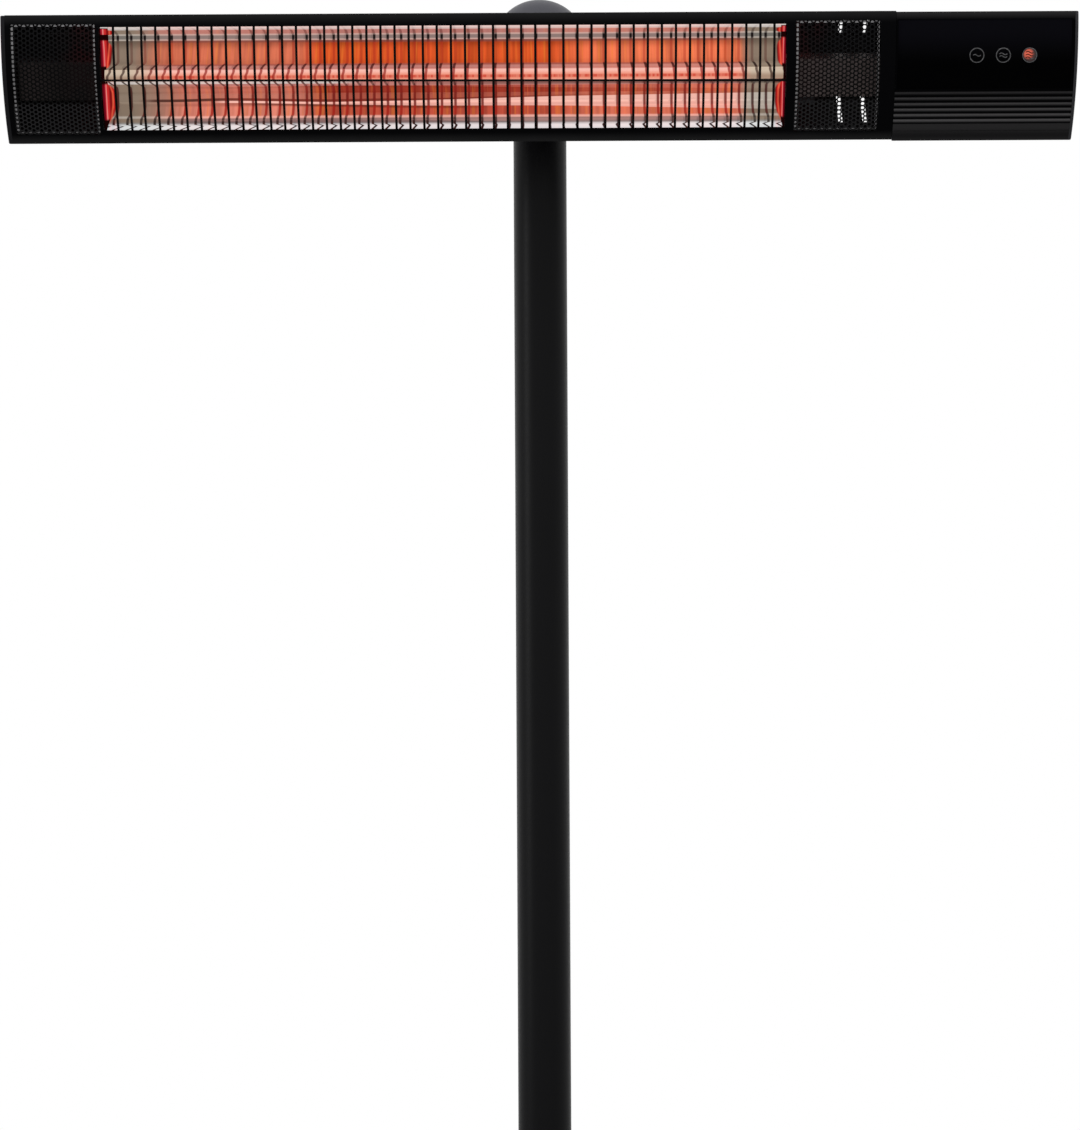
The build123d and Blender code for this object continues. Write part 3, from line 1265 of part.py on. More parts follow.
# ---------------------------------------------------------------- assembly
HEAD_NODES = {
    "housing_shell": housing_shell,
    "front_frame": front_frame,
    "left_mesh_panel": lambda: mesh_panel(LEFT_WINDOW),
    "right_mesh_panel": lambda: mesh_panel(RIGHT_WINDOW),
    "left_end_cap": left_end_cap,
    "end_cap_screws": end_cap_screws,
    "module_screws": module_screws,
    "overheat_cutout": overheat_cutout,
    "lamp_lead_left": lamp_lead_left,
    "lamp_lead_right": lamp_lead_right,
    "grille_wires": grille_wires,
    "grille_cross_wires": cross_wires,
    "reflector": reflector,
    "reflector_end_left": lambda: reflector_end(REFLECTOR_LEFT - SHEET - FIT, REFLECTOR_LEFT - FIT),
    "reflector_end_right": lambda: reflector_end(REFLECTOR_RIGHT + FIT, REFLECTOR_RIGHT + FIT + SHEET),
    "lamp_tube": lamp_tube,
    "lamp_filament": lamp_filament,
    "lamp_holder_left": lambda: lamp_holder(-1),
    "lamp_holder_right": lambda: lamp_holder(1),
    "lamp_channel_left": lambda: lamp_channel(-1),
    "lamp_channel_right": lambda: lamp_channel(1),
    "tilt_bracket": tilt_bracket,
    "rail_bolts": rail_bolts,
    "control_module_shell": control_module_shell,
    "display_panel": display_panel,
    "indicator_lights": indicator_lights,
    "control_board": control_board,
    "remote_receiver": remote_receiver,
    "tip_over_switch": tip_over_switch,
    "power_relay": power_relay,
    "terminal_block": terminal_block,
    "cable_gland": cable_gland,
    "module_end_plate": module_end_plate,
    "switch_body": switch_body,
    "power_rocker": power_rocker,
}

STAND_NODES = {
    "base_plate": base_plate,
    "base_feet": base_feet,
    "pole_flange": pole_flange,
    "flange_bolts": flange_bolts,
    "base_cover": base_cover,
    "pole_lower": lambda: pole_section(0),
    "pole_middle": lambda: pole_section(1),
    "pole_upper": lambda: pole_section(2),
    "pole_coupler_lower": lambda: pole_coupler(0),
    "pole_coupler_upper": lambda: pole_coupler(1),
    "pole_screws": pole_screws,
    "hinge_hub": hinge_hub,
    "hub_cap": hub_cap,
    "hinge_bolt": hinge_bolt,
    "friction_washers": friction_washers,
    "tilt_knob": tilt_knob,
}

os.makedirs("parts", exist_ok=True)
for name, make in STAND_NODES.items():
    export_step(make(), f"parts/{name}.step")
for name, make in HEAD_NODES.items():
    export_step(HEAD_PLACE * make(), f"parts/{name}.step")
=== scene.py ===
"""Infrared patio heater tower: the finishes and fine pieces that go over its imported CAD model."""

import json
import math

import bpy
from bpy.props import FloatProperty, FloatVectorProperty, PointerProperty
from mathutils import Matrix, Vector


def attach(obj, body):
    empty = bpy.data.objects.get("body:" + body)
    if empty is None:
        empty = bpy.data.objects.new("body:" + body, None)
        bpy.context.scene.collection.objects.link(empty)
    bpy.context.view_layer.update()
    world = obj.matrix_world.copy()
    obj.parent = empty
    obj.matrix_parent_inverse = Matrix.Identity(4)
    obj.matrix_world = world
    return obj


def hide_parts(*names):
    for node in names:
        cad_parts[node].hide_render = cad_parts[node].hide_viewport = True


bl_info = {
    "name": "Patio heater tower",
    "version": (1, 0, 0),
    "blender": (4, 5, 0),
    "location": "View3D > Sidebar > Heater",
    "description": "Builds the fine pieces and the finishes of an infrared patio heater",
    "category": "Add Mesh",
}

MM = 0.001
WELD = 0.02 * MM  # vertices nearer than this are one
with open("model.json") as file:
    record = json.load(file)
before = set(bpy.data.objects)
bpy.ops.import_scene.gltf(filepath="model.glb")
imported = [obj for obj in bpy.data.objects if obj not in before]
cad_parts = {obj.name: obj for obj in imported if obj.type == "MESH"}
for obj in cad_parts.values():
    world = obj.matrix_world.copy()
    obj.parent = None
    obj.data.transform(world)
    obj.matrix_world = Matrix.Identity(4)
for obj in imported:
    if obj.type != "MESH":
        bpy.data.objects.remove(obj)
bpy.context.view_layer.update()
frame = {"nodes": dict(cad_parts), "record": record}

# ---------------------------------------------------------------- places, metres and radians
REST_TILT = math.radians(22.6)
HINGE = Vector((0.0, -0.066, 2.1582))
HEAD_PLACE = Matrix.Translation(HINGE) @ Matrix.Rotation(REST_TILT, 4, "X")
CHORD_Y = -0.098  # chord of the head's curved front, from the hinge
FRONT_R = 0.16155  # outer face of the curved front
FRONT_AXIS_Y = 0.05155
FRONT_SKIN = 0.0015
MESH_GAP = 0.0001
BEHIND_FRONT_R = FRONT_R - FRONT_SKIN - MESH_GAP  # outer face of what lies behind the front's sheet
BEFORE_FRONT_Y = FRONT_AXIS_Y - FRONT_R - 0.01  # where sheets start, to be pressed back to the curve
BEFORE_PANEL_Y = CHORD_Y - 0.03  # where the icons start, to be pressed back onto the display

# Windows of the front frame: first and last X, then lowest and highest Z, in the head's own frame.
MESH_WINDOWS = {"left": (-0.4915, -0.4121, -0.0520, 0.0536), "right": (0.2378, 0.3165, -0.0520, 0.0536)}
GRILLE_WINDOW = (-0.4088, 0.2296, -0.0474, 0.0507)
WINDOW_OVERLAP = 0.0016
WIRE_MIDDLE_X = (GRILLE_WINDOW[0] + GRILLE_WINDOW[1]) / 2 + 0.0008
WIRE_COUNT = 48
WIRE_PITCH = 0.01306
MIDDLE_WIRE_LEAN = 0.0047
REFLECTOR_ENDS = (GRILLE_WINDOW[0] + 0.0015, GRILLE_WINDOW[1] - 0.0015)
CROSS_WIRE_ZS = (-0.0498, -0.0003, 0.0531)
ICON_XS = (0.4061, 0.4307, 0.4552)
ICON_Z = 0.0216
ICON_LIGHT = (ICON_XS[2] - 0.0012, ICON_Z + 0.0012)  # X and Z of the brightest place, at the third icon
RIB_TOP_Z = -0.0116  # ribs of the module's front: highest edge, pitch and number
RIB_PITCH = 0.0055
RIB_COUNT = 6

# ---------------------------------------------------------------- camera, from the photograph, and light
PHOTO_WIDTH = 1080
PHOTO_HEIGHT = 1130
FOCAL_PIXELS = 3237
SENSOR = 36.0
CAMERA_PLACE = Vector((-0.002, -3.180, 1.66534))
CAMERA_ROLL = math.radians(0.29)
WORLD_LIGHT = 0.55  # strength of the white world as light on the object
LAMP_AIM = Vector((0, 0, 1.4))
STUDIO_LAMPS = (  # name, place, width, depth, watts
    ("overhead lamp", (-0.3, -1.7, 4.3), 3.0, 0.8, 45),
    ("side lamp", (-3.4, -1.6, 2.2), 1.0, 2.4, 30),
)


# ---------------------------------------------------------------- sizes and colours that a user sets
class HeaterSizes(bpy.types.PropertyGroup):
    hole_pitch: FloatProperty(
        name="Hole pitch", description="Height from one hole of the mesh to the next in its column",
        default=4.2 * MM, min=2 * MM, unit="LENGTH")
    hole_bar: FloatProperty(
        name="Bar between holes", description="Metal left between two holes of the mesh",
        default=1.2 * MM, min=0.3 * MM, unit="LENGTH")
    mesh_thickness: FloatProperty(
        name="Mesh thickness", description="Thickness of the perforated sheet",
        default=0.8 * MM, min=0.2 * MM, unit="LENGTH")
    wire_diameter: FloatProperty(
        name="Grille wire", description="Diameter of the guard's wires",
        default=2.3 * MM, min=1 * MM, unit="LENGTH")
    wire_pitch: FloatProperty(
        name="Wire pitch", description="From one upright wire of the guard to the next",
        default=WIRE_PITCH, min=4 * MM, unit="LENGTH")
    icon_radius: FloatProperty(
        name="Icon radius", description="Radius of the rings printed on the display",
        default=6.5 * MM, min=2 * MM, unit="LENGTH")


class HeaterColours(bpy.types.PropertyGroup):
    powder: FloatVectorProperty(
        name="Powder coat", description="Colour of the satin black powder coat",
        default=(0.0018, 0.0018, 0.0022), subtype="COLOR", min=0, max=1)
    plastic: FloatVectorProperty(
        name="Moulded plastic", description="Colour of the control module's shell",
        default=(0.0012, 0.0012, 0.0015), subtype="COLOR", min=0, max=1)


# ---------------------------------------------------------------- shader maths
class Link:
    """A shader socket that can stand in a Python expression."""

    def __init__(self, nodes, socket):
        self.nodes = nodes
        self.socket = socket

    def maths(self, operation, *values):
        return self.nodes.node("ShaderNodeMath", {"operation": operation}, dict(enumerate(values)))

    def __add__(self, other):
        return self.maths("ADD", self, other)

    def __sub__(self, other):
        return self.maths("SUBTRACT", self, other)

    def __rsub__(self, other):
        return self.maths("SUBTRACT", other, self)

    def __mul__(self, other):
        return self.maths("MULTIPLY", self, other)

    def __truediv__(self, other):
        return self.maths("DIVIDE", self, other)

    def __neg__(self):
        return self.maths("MULTIPLY", self, -1.0)

    def __mod__(self, other):
        return self.maths("FLOORED_MODULO", self, other)

    def __abs__(self):
        return self.maths("ABSOLUTE", self)

    __radd__ = __add__
    __rmul__ = __mul__


class Nodes:
    """A node tree, of a material or of the world."""

    def __init__(self, tree):
        self.tree = tree

    def node(self, kind, settings=None, inputs=None, output=0):
        """Adds a node: first its settings, then the values or links of its sockets."""
        made = self.tree.nodes.new(kind)
        for name, value in (settings or {}).items():
            if name == "stops":
                self.set_stops(made.color_ramp, value)
            else:
                setattr(made, name, value)
        self.feed(made, inputs or {})
        return Link(self, made.outputs[output])

    def set_stops(self, ramp, stops):
        while len(ramp.elements) < len(stops):
            ramp.elements.new(1.0)
        for element, (place, colour) in zip(ramp.elements, stops):
            element.position = place
            element.color = (*colour, 1.0)

    def feed(self, node, inputs):
        for name, value in inputs.items():
            if isinstance(value, Link):
                self.tree.links.new(value.socket, node.inputs[name])
            else:
                node.inputs[name].default_value = value

    def outputs(self, link, *names):
        """Named outputs of the node that a link comes from."""
        return [Link(self, link.socket.node.outputs[name]) for name in names]


class Finish(Nodes):
    """One material: its Principled shader, and the nodes that feed it."""

    def __init__(self, name):
        self.material = bpy.data.materials.new(name)
        self.material.use_nodes = True
        super().__init__(self.material.node_tree)
        self.shader = self.tree.nodes["Principled BSDF"]

    def surface(self, **inputs):
        """Sets the Principled shader's sockets: Base_Color stands for Base Color."""
        self.feed(self.shader, {name.replace("_", " "): value for name, value in inputs.items()})
        return self.material

    def place(self):
        return self.node("ShaderNodeTexCoord", output="Object")

    def head_place(self):
        """The place in the head's own frame: X along the head, Y into it and Z along its chord."""
        return self.node("ShaderNodeMapping", {"vector_type": "TEXTURE"}, {
            "Vector": self.place(), "Location": HINGE, "Rotation": (REST_TILT, 0, 0)})

    def parts(self, vector):
        return self.outputs(self.node("ShaderNodeSeparateXYZ", inputs={"Vector": vector}), "X", "Y", "Z")

    def stretch(self, vector, x, y, z):
        return self.node("ShaderNodeVectorMath", {"operation": "MULTIPLY"}, {0: vector, 1: (x, y, z)})

    def scaled(self, vector, factor):
        return self.node("ShaderNodeVectorMath", {"operation": "SCALE"}, {0: vector, "Scale": factor})

    def noise(self, scale, detail=3.0, vector=None):
        return self.node("ShaderNodeTexNoise", inputs={
            "Vector": vector or self.place(), "Scale": scale, "Detail": detail})

    def drawn_noise(self, place, detail, x, y, z):
        """A noise with its own scale along each axis: 0 draws it out to unbroken streaks."""
        return self.noise(1.0, detail, self.stretch(place, x, y, z))

    def rise(self, value, low, high):
        """0 below low, 1 above high and smooth between."""
        return self.node("ShaderNodeMapRange", {"interpolation_type": "SMOOTHSTEP"}, {
            "Value": value, "From Min": low, "From Max": high})

    def fall(self, value, low, high):
        """1 below low, 0 above high and smooth between."""
        return 1 - self.rise(value, low, high)

    def band(self, value, first_edge, last_edge):
        """1 between two edges, each a pair of places that it takes to rise or to fall."""
        return self.rise(value, *first_edge) * self.fall(value, *last_edge)

    def spread(self, value, low, high):
        """Takes a 0 to 1 value, such as a noise, to low to high."""
        return value * (high - low) + low

    def blend(self, factor, first, second):
        return self.node("ShaderNodeMix", {"data_type": "RGBA"}, {
            0: factor, 6: rgba(first), 7: rgba(second)}, output=2)

    def ramp(self, factor, stops):
        return self.node("ShaderNodeValToRGB", {"stops": stops}, {0: factor})

    def bump(self, height, distance, strength=1.0):
        return self.node("ShaderNodeBump", inputs={
            "Height": height, "Distance": distance, "Strength": strength})

    def orange_peel(self, depth=0.06 * MM):
        """The fine bumps of baked powder."""
        return self.bump(self.noise(1400, 2), depth)

    def gloss(self, low, high):
        """Roughness that wanders a little over baked powder."""
        return self.spread(self.noise(240, 3), low, high)


def rgba(colour):
    return colour if isinstance(colour, Link) else (*colour, 1.0)


def times(colour, factor):
    return [part * factor for part in colour]


# ---------------------------------------------------------------- finishes
# Pairs of places, by the head's X, Y or Z, are edges: where a change starts, and where it is done.
RAIL_TOP = (0.051, 0.062)  # where the front frame's upper rail rolls over
RAIL_BOTTOM = (0.050, 0.061)  # where its lower rail does, measured downwards
MESH_LOW = (-0.022, -0.018)  # lower and upper edge of the mesh's middle strip, which has painted shade; below it the mesh is painted paler
MESH_HIGH = (0.016, 0.020)
# where the lamp's painted glow on the mesh sets in and ends, by X
MESH_NEAR_LAMP = ((-0.455, -0.415), (0.245, 0.275))
# where the module's painted highlight along its top sets in, and where its back without painted highlights
# starts
MODULE_TOP = (0.0525, 0.061)
MODULE_BACK = (-0.096, -0.086)


def powder_coat(name, colour, gloss=0.42, sheen=0.03, grain=0.06 * MM):
    """Baked powder: near black, with a fine orange peel."""
    finish = Finish(name)
    return finish.surface(
        Base_Color=finish.blend(finish.noise(18, 4), times(colour, 0.8), times(colour, 1.25)),
        Roughness=finish.gloss(gloss - 0.05, gloss + 0.06),
        Specular_IOR_Level=sheen,
        Normal=finish.orange_peel(grain))


def moulded_plastic(name, colour, gloss, sheen=0.1):
    """Injection moulding with a fine spark-eroded grain."""
    finish = Finish(name)
    return finish.surface(
        Base_Color=finish.blend(finish.noise(30, 3), times(colour, 0.85), times(colour, 1.15)),
        Roughness=finish.spread(finish.noise(300, 2), gloss - 0.06, gloss + 0.06),
        Specular_IOR_Level=sheen,
        Normal=finish.bump(finish.noise(2600, 2), 0.03 * MM))


def frame_powder(colour):
    """The front frame's powder coat, which catches the light where its rails roll over at the edges."""
    finish = Finish("frame powder coat")
    z = finish.parts(finish.head_place())[2]
    rolled = finish.rise(z, *RAIL_TOP) * 0.011 + finish.rise(-z, *RAIL_BOTTOM) * 0.013
    lightness = rolled * finish.spread(finish.noise(40, 3), 0.8, 1.2)
    return finish.surface(
        Base_Color=finish.blend(lightness, colour, (1.0, 1.0, 1.0)),
        Roughness=finish.gloss(0.40, 0.50),
        Specular_IOR_Level=0.01,
        Normal=finish.orange_peel())


def mesh_powder(colour):
    """The mesh's powder coat, with painted light: paler where it faces down, painted shade along its middle
    strip, and a painted warm glow from the lamp beside it.
    """
    finish = Finish("mesh powder coat")
    x, _, z = finish.parts(finish.head_place())
    above = finish.rise(z, *MESH_LOW)
    middle = finish.band(z, MESH_LOW, MESH_HIGH)
    # painted light: paler below the middle strip, then painted shade darkens the strip
    tone_and_shading = finish.blend((1 - above) * 0.011 + 0.0018, colour, (1.0, 0.97, 1.0))
    tone_and_shading = finish.blend(middle * 0.8, tone_and_shading, (0, 0, 0))
    # painted warm glow from the lamp beside it, in patches
    patches = finish.rise(finish.noise(45, 2), 0.35, 0.65)
    warm = finish.band(x, *MESH_NEAR_LAMP) * above * (1 - middle * 0.7) * patches
    return finish.surface(
        Base_Color=finish.blend(warm, tone_and_shading, (0.012, 0.0020, 0.0026)),
        Roughness=finish.gloss(0.45, 0.56),
        Specular_IOR_Level=0.05,
        Normal=finish.orange_peel())


def channel_zinc():
    """The folded channels behind the mesh panels: dull zinc, warm, with painted light that makes it brightest
    on the module's side.
    """
    finish = Finish("channel zinc")
    x = finish.parts(finish.head_place())[0]
    cloud = finish.noise(70, 4)
    # painted light: brighter at the far left end, and brightest past the middle, on the module's side
    left = finish.fall(x, -0.485, -0.440) * 0.075 + 0.0525
    tone_and_shading = finish.rise(x, 0.0, 0.1) * 0.26 + left
    return finish.surface(
        Base_Color=finish.scaled(finish.blend(cloud, (0.52, 0.42, 0.41), (0.40, 0.32, 0.31)), tone_and_shading),
        Metallic=0.3, Roughness=finish.spread(cloud, 0.4, 0.55),
        Specular_IOR_Level=0.1, Normal=finish.bump(cloud, 0.05 * MM, 0.5))


def ribbed_plastic(colour):
    """The module's moulding: dull black, with painted highlights on the crests of its ribs, along its top and
    on its lower edge.
    """
    finish = Finish("module plastic")
    y, z = finish.parts(finish.head_place())[1:]
    under = -z + RIB_TOP_Z  # metres below the ribs' highest edge
    along = (under % RIB_PITCH) * (1 / RIB_PITCH)
    # painted highlight across each rib, strongest near its upper edge, and stronger on the lower ribs
    crest_highlight = finish.band(along, (0.05, 0.22), (0.25, 0.95))
    last = RIB_PITCH * RIB_COUNT
    last_edge = (last - 0.0005, last)
    ribs = finish.band(under, (0.0, 0.0005), last_edge) * (under * (0.085 / last) + 0.020)
    # painted light on the band below the ribs, dimmer partway down, and along the module's top
    lower_band_light = finish.rise(abs(under - (last + 0.012)), 0.0, 0.009) * 0.014 + 0.011
    front = crest_highlight * crest_highlight * ribs + finish.rise(under, *last_edge) * lower_band_light + finish.rise(z, *MODULE_TOP) * 0.022
    # behind the front there are no painted highlights, only an even, lighter black
    back = finish.rise(y, *MODULE_BACK)
    return finish.surface(
        Base_Color=finish.blend(front * (1 - back) + back * 0.013, colour, (1.0, 0.97, 0.99)),
        Roughness=finish.spread(finish.noise(300, 2), 0.38, 0.48),
        Specular_IOR_Level=0.006,
        Normal=finish.bump(finish.noise(2600, 2), 0.03 * MM))


def panel_gloss():
    """The display's black gloss, with faint polishing swirls in its roughness and a painted highlight towards
    its top.
    """
    finish = Finish("panel gloss")
    z = finish.parts(finish.head_place())[2]
    swirl = finish.noise(90, 5)
    black = finish.blend(swirl, (0.0004, 0.0004, 0.0005), (0.0008, 0.0008, 0.0010))
    # painted highlight: the colour grows lighter towards the display's top
    return finish.surface(
        Base_Color=finish.blend(finish.rise(z, 0.012, 0.046), black, (0.0032, 0.0031, 0.0046)),
        Roughness=finish.spread(swirl, 0.10, 0.18),
        Specular_IOR_Level=0.006)


def drawn_steel():
    """Black-oxide grille wire with draw marks along it."""
    finish = Finish("grille steel")
    marks = finish.noise(900, 3, finish.stretch(finish.head_place(), 1.0, 1.0, 0.05))
    return finish.surface(
        Base_Color=finish.blend(marks, (0.0015, 0.001, 0.001), (0.004, 0.003, 0.003)),
        Roughness=finish.spread(marks, 0.40, 0.55), Specular_IOR_Level=0.04,
        Normal=finish.bump(marks, 0.02 * MM))


def zinc_plate(name="zinc plate", tone_and_shading=1.0):
    """Pressed steel with a dull zinc spangle."""
    finish = Finish(name)
    spangle = finish.node("ShaderNodeTexVoronoi", inputs={"Vector": finish.place(), "Scale": 260.0})
    cloud = finish.noise(70, 4)
    bright = finish.blend(spangle, (0.33, 0.33, 0.35), (0.46, 0.46, 0.47))
    return finish.surface(
        Base_Color=finish.scaled(finish.blend(cloud, bright, (0.28, 0.27, 0.27)), tone_and_shading),
        Metallic=0.85, Roughness=finish.spread(cloud, 0.34, 0.52),
        Normal=finish.bump(cloud, 0.05 * MM, 0.5))


def black_fixing():
    """Blackened screws, worn to grey in specks."""
    finish = Finish("black fixing")
    wear = finish.noise(1500, 4)
    return finish.surface(
        Base_Color=finish.blend(finish.rise(wear, 0.62, 0.75), (0.010, 0.010, 0.011), (0.045, 0.042, 0.04)),
        Metallic=0.5, Roughness=finish.spread(wear, 0.32, 0.5), Specular_IOR_Level=0.3,
        Normal=finish.bump(wear, 0.03 * MM))


# Colours of the light on the reflector's folds: first where the lamp lights them, then past its ends.
WHITE = (0.77, 0.81, 0.83)
CREAM = (0.68, 0.55, 0.52)
PALE = (0.60, 0.38, 0.33)
BLUSH = (0.90, 0.48, 0.40)
PINK = (0.47, 0.185, 0.16)
RUST = (0.41, 0.11, 0.085)
DUSKY = (0.41, 0.158, 0.142)
ORANGE = (0.75, 0.100, 0.022)
BRICK = (0.59, 0.099, 0.058)
COPPER = (0.42, 0.088, 0.058)
MAROON = (0.35, 0.088, 0.066)
EMBER = (0.31, 0.036, 0.019)
PEWTER = (0.26, 0.18, 0.165)
DUSK = (0.28, 0.175, 0.165)
UMBER = (0.085, 0.055, 0.055)
SNOW = (0.66, 0.61, 0.58)
SAND = (0.50, 0.44, 0.38)
STONE = (0.26, 0.195, 0.145)
ASH = (0.185, 0.17, 0.15)
REFLECTOR_HALF = 0.057
# Upper edge by the head's Z, lit colour, unlit colour, redness, darkness of the wires' echo.
REFLECTOR_BANDS = (
    (0.0570, CREAM, SNOW, 0.0, 0.15),
    (0.0353, PINK, STONE, 0.3, 0.5),
    (0.0313, PALE, SAND, 0.0, 0.6),
    (0.0300, PEWTER, ASH, 0.0, 1.0),
    (0.0262, PALE, SAND, 0.0, 0.9),
    (0.0251, RUST, STONE, 0.3, 0.5),
    (0.0234, ORANGE, STONE, 1.0, 0.5),
    (0.0083, MAROON, STONE, 0.1, 0.9),
    (0.0068, PINK, STONE, 0.2, 0.9),
    (-0.0070, DUSKY, STONE, 0.1, 0.9),
    (-0.0155, EMBER, STONE, 0.6, 0.9),
    (-0.0258, COPPER, STONE, 0.5, 0.9),
    (-0.0380, BRICK, STONE, 1.0, 0.9),
    (-0.0440, BLUSH, SAND, 0.1, 0.8),
    (-0.0455, DUSK, STONE, 0.0, 0.9),
    (-0.0470, UMBER, ASH, 0.0, 1.0),
    (-0.0475, WHITE, WHITE, 0.0, 1.0),
)
BAND_EDGE = 0.0004
BELOW_LAMP = (-0.012, -0.004)
LIT_START = (-0.388, -0.345)  # where the lamp's light sets in
LIT_START_BELOW = 0.018  # how much longer it takes to set in below the lamp
LIT_END = (0.184, 0.200)
SIDE_FLARES = (  # edge by X, colour above and below the lamp
    ((-0.230, -0.206), (0.70, 0.255, 0.165), (0.98, 0.43, 0.32)),
    ((0.005, 0.060), (1.06, 0.30, 0.155), (1.10, 0.33, 0.20)))
FLARE_STRENGTH = 0.52
DULL_FOLD = ((-0.0260, -0.0256), (-0.0157, -0.0153))  # a fold that the right flare reaches less
DULL_FOLD_END = (0.125, 0.150)
DULL_FOLD_LOSS = 0.6
STREAK_LIGHT = (1.06, 0.70)  # strength of the colour outside and inside a streak
SPARK = (0.86, 0.24, 0.035)
VEILS = (  # lower and upper edge of a shaded strip, and how much it loses
    ((0.0175, 0.0243), (0.0251, 0.0255), 0.42),
    ((0.0081, 0.0085), (0.0095, 0.0125), 0.14))
WEDGE_START = (-0.315, -0.295)  # the pale wedge in the lower trough sets in here as a thin line
WEDGE_LINE = 0.0010
WEDGE_LINE_START = (-0.35, -0.30)
WEDGE_MIDDLE = -0.0343
WEDGE_SAG = 0.0016  # how much lower it lies partway along
WEDGE_SAG_REACH = ((-0.30, -0.19), (-0.14, 0.04))
WEDGE_APEX = -0.27  # where its opening sides would meet
WEDGE_OPENING = 0.0142
WEDGE_EDGE = (-0.0003, 0.0002)
CREASE_RISE = 0.0008  # the painted dark crease line over the wedge: how far above its upper side
CREASE_EDGE = (0.0004, 0.0011)
CREASE_START = (-0.385, -0.362)
CREASE_EARLY_END = (-0.16, -0.10)  # up to here it lies higher and is wider, by the next two
CREASE_EARLY_RISE = 0.00042
CREASE_EARLY_WIDTH = 0.00056
CREASE_FADE = (-0.10, 0.10)
CREASE_WARMING = (-0.33, -0.27)
WEDGE_SHADE = (-0.0022, -0.0009)  # lower edge of the shade under the wedge, from its lower side
WEDGE_SHADE_REACH = ((-0.32, -0.25), (-0.09, -0.03))
GLINT = ((-0.0126, -0.0120), (-0.006, -0.005))  # pale strip under the lamp's left end
GLINT_END = (-0.20, -0.16)
UNDER_LAMP = ((-0.0155, -0.0131), (-0.0078, -0.0070))  # shaded strip under the rest of the lamp
UNDER_LAMP_START = (-0.19, 0.0)
UNDER_LAMP_LOSS = 0.72
ECHO_SCALE = 0.05  # the share of X that full white stands for on the echo's ramp
ECHO_OFFSET = 0.0008
ECHO_MIDDLE_X = -0.002  # the lines spread from here with depth, as if they came from a point
ECHO_REACH = 3.05  # this far in front of the wires
ECHO_EDGE = (0.0009, 0.0016)
ECHO_TINTS = ((0.015, 0.010, 0.010), (0.40, 0.022, 0.014))  # on other metal and on red metal
WIRE_ECHO = (  # by the head's Z, how far the mirrored wires lie towards the middle, as a share of X
    (-0.0500, 0.006), (-0.0492, 0.018), (-0.0481, 0.046), (-0.0477, 0.0225), (-0.0465, 0.0235),
    (-0.0450, 0.026), (-0.0430, 0.032), (-0.0380, 0.0355), (-0.0250, 0.0365), (-0.0170, 0.035),
    (-0.0140, 0.030), (-0.0115, 0.022), (-0.0090, 0.017), (0.0045, 0.022), (0.0060, 0.027),
    (0.0073, 0.032), (0.0083, 0.038), (0.0100, 0.042), (0.0300, 0.044), (0.0330, 0.040),
    (0.0367, 0.028), (0.0390, 0.018))
WIRE_DEPTH = -0.1085  # of the grille's wires, in the head's own frame
LAMP_LOBES = ((0.0145, 0.0098), (-0.030, 0.0175), (0.033, 0.0025))  # middle Z and half height
LOBE_DEPTH = 0.0052
LOBE_EDGE = (0.68, 1.08)
LOBE_STOPS = [(0.0, (0.48, 0.016, 0.016)), (0.26, (0.85, 0.15, 0.07)), (0.40, (0.60, 0.025, 0.022)),
              (0.75, (0.15, 0.004, 0.005)), (1.0, (0.03, 0.002, 0.002))]
PLATE_LOBES = ((0.0150, 0.0138), (-0.0314, 0.0191), (0.0355, 0.0030))  # the same on the end plates
PLATE_SLANT = 0.236  # how far they drop there for each metre into the head
PLATE_BACK_Y = -0.056
PLATE_DEPTH = 0.040
PLATE_TOP = ((0.0386, 0.0392), (0.0436, 0.0442))  # pale strip along a plate's top, a painted highlight
PLATE_STOPS = [(0.0, (0.14, 0.002, 0.008)), (0.25, (0.60, 0.018, 0.038)), (0.40, (0.80, 0.30, 0.26)),
               (0.48, (0.62, 0.030, 0.030)), (0.80, (0.52, 0.020, 0.020)), (1.0, (0.20, 0.005, 0.006))]


def height_on_ramp(z):
    return 0.5 + 0.5 * z / REFLECTOR_HALF


def band_stops(column):
    """Ramp stops, lowest first: each band is flat, and turns into the next over a thin edge."""
    stops = []
    soft = 0.5 * BAND_EDGE / REFLECTOR_HALF
    for lower, upper in zip(REFLECTOR_BANDS[:0:-1], REFLECTOR_BANDS[-2::-1]):
        edge = height_on_ramp(lower[0])
        stops.append((edge - soft, column(lower)))
        stops.append((edge + soft, column(upper)))
    return stops


def wire_echo(finish, x, y, shift):
    """The grille's wires as the bright metal mirrors them: thin upright lines, shifted to the middle."""
    first = WIRE_MIDDLE_X - WIRE_PITCH * (WIRE_COUNT - 1) / 2
    spreading = 1 + shift - (y - WIRE_DEPTH) * (1 / ECHO_REACH)
    seen = (x - ECHO_MIDDLE_X) * spreading + (ECHO_MIDDLE_X - first - ECHO_OFFSET)
    off = abs((seen + WIRE_PITCH / 2) % WIRE_PITCH - WIRE_PITCH / 2)
    return finish.fall(off, *ECHO_EDGE)


def side_flares(finish, colour, x, z, below, redness):
    """Stronger light on the red folds towards each end of the lamp."""
    flare = redness * FLARE_STRENGTH
    (left_edge, *left_colours), (right_edge, *right_colours) = SIDE_FLARES
    colour = finish.blend(flare * finish.fall(x, *left_edge), colour, finish.blend(below, *left_colours))
    loss = finish.band(z, *DULL_FOLD) * finish.fall(x, *DULL_FOLD_END) * DULL_FOLD_LOSS
    flare = flare * finish.rise(x, *right_edge) * (1 - loss)
    return finish.blend(flare, colour, finish.blend(below, *right_colours))


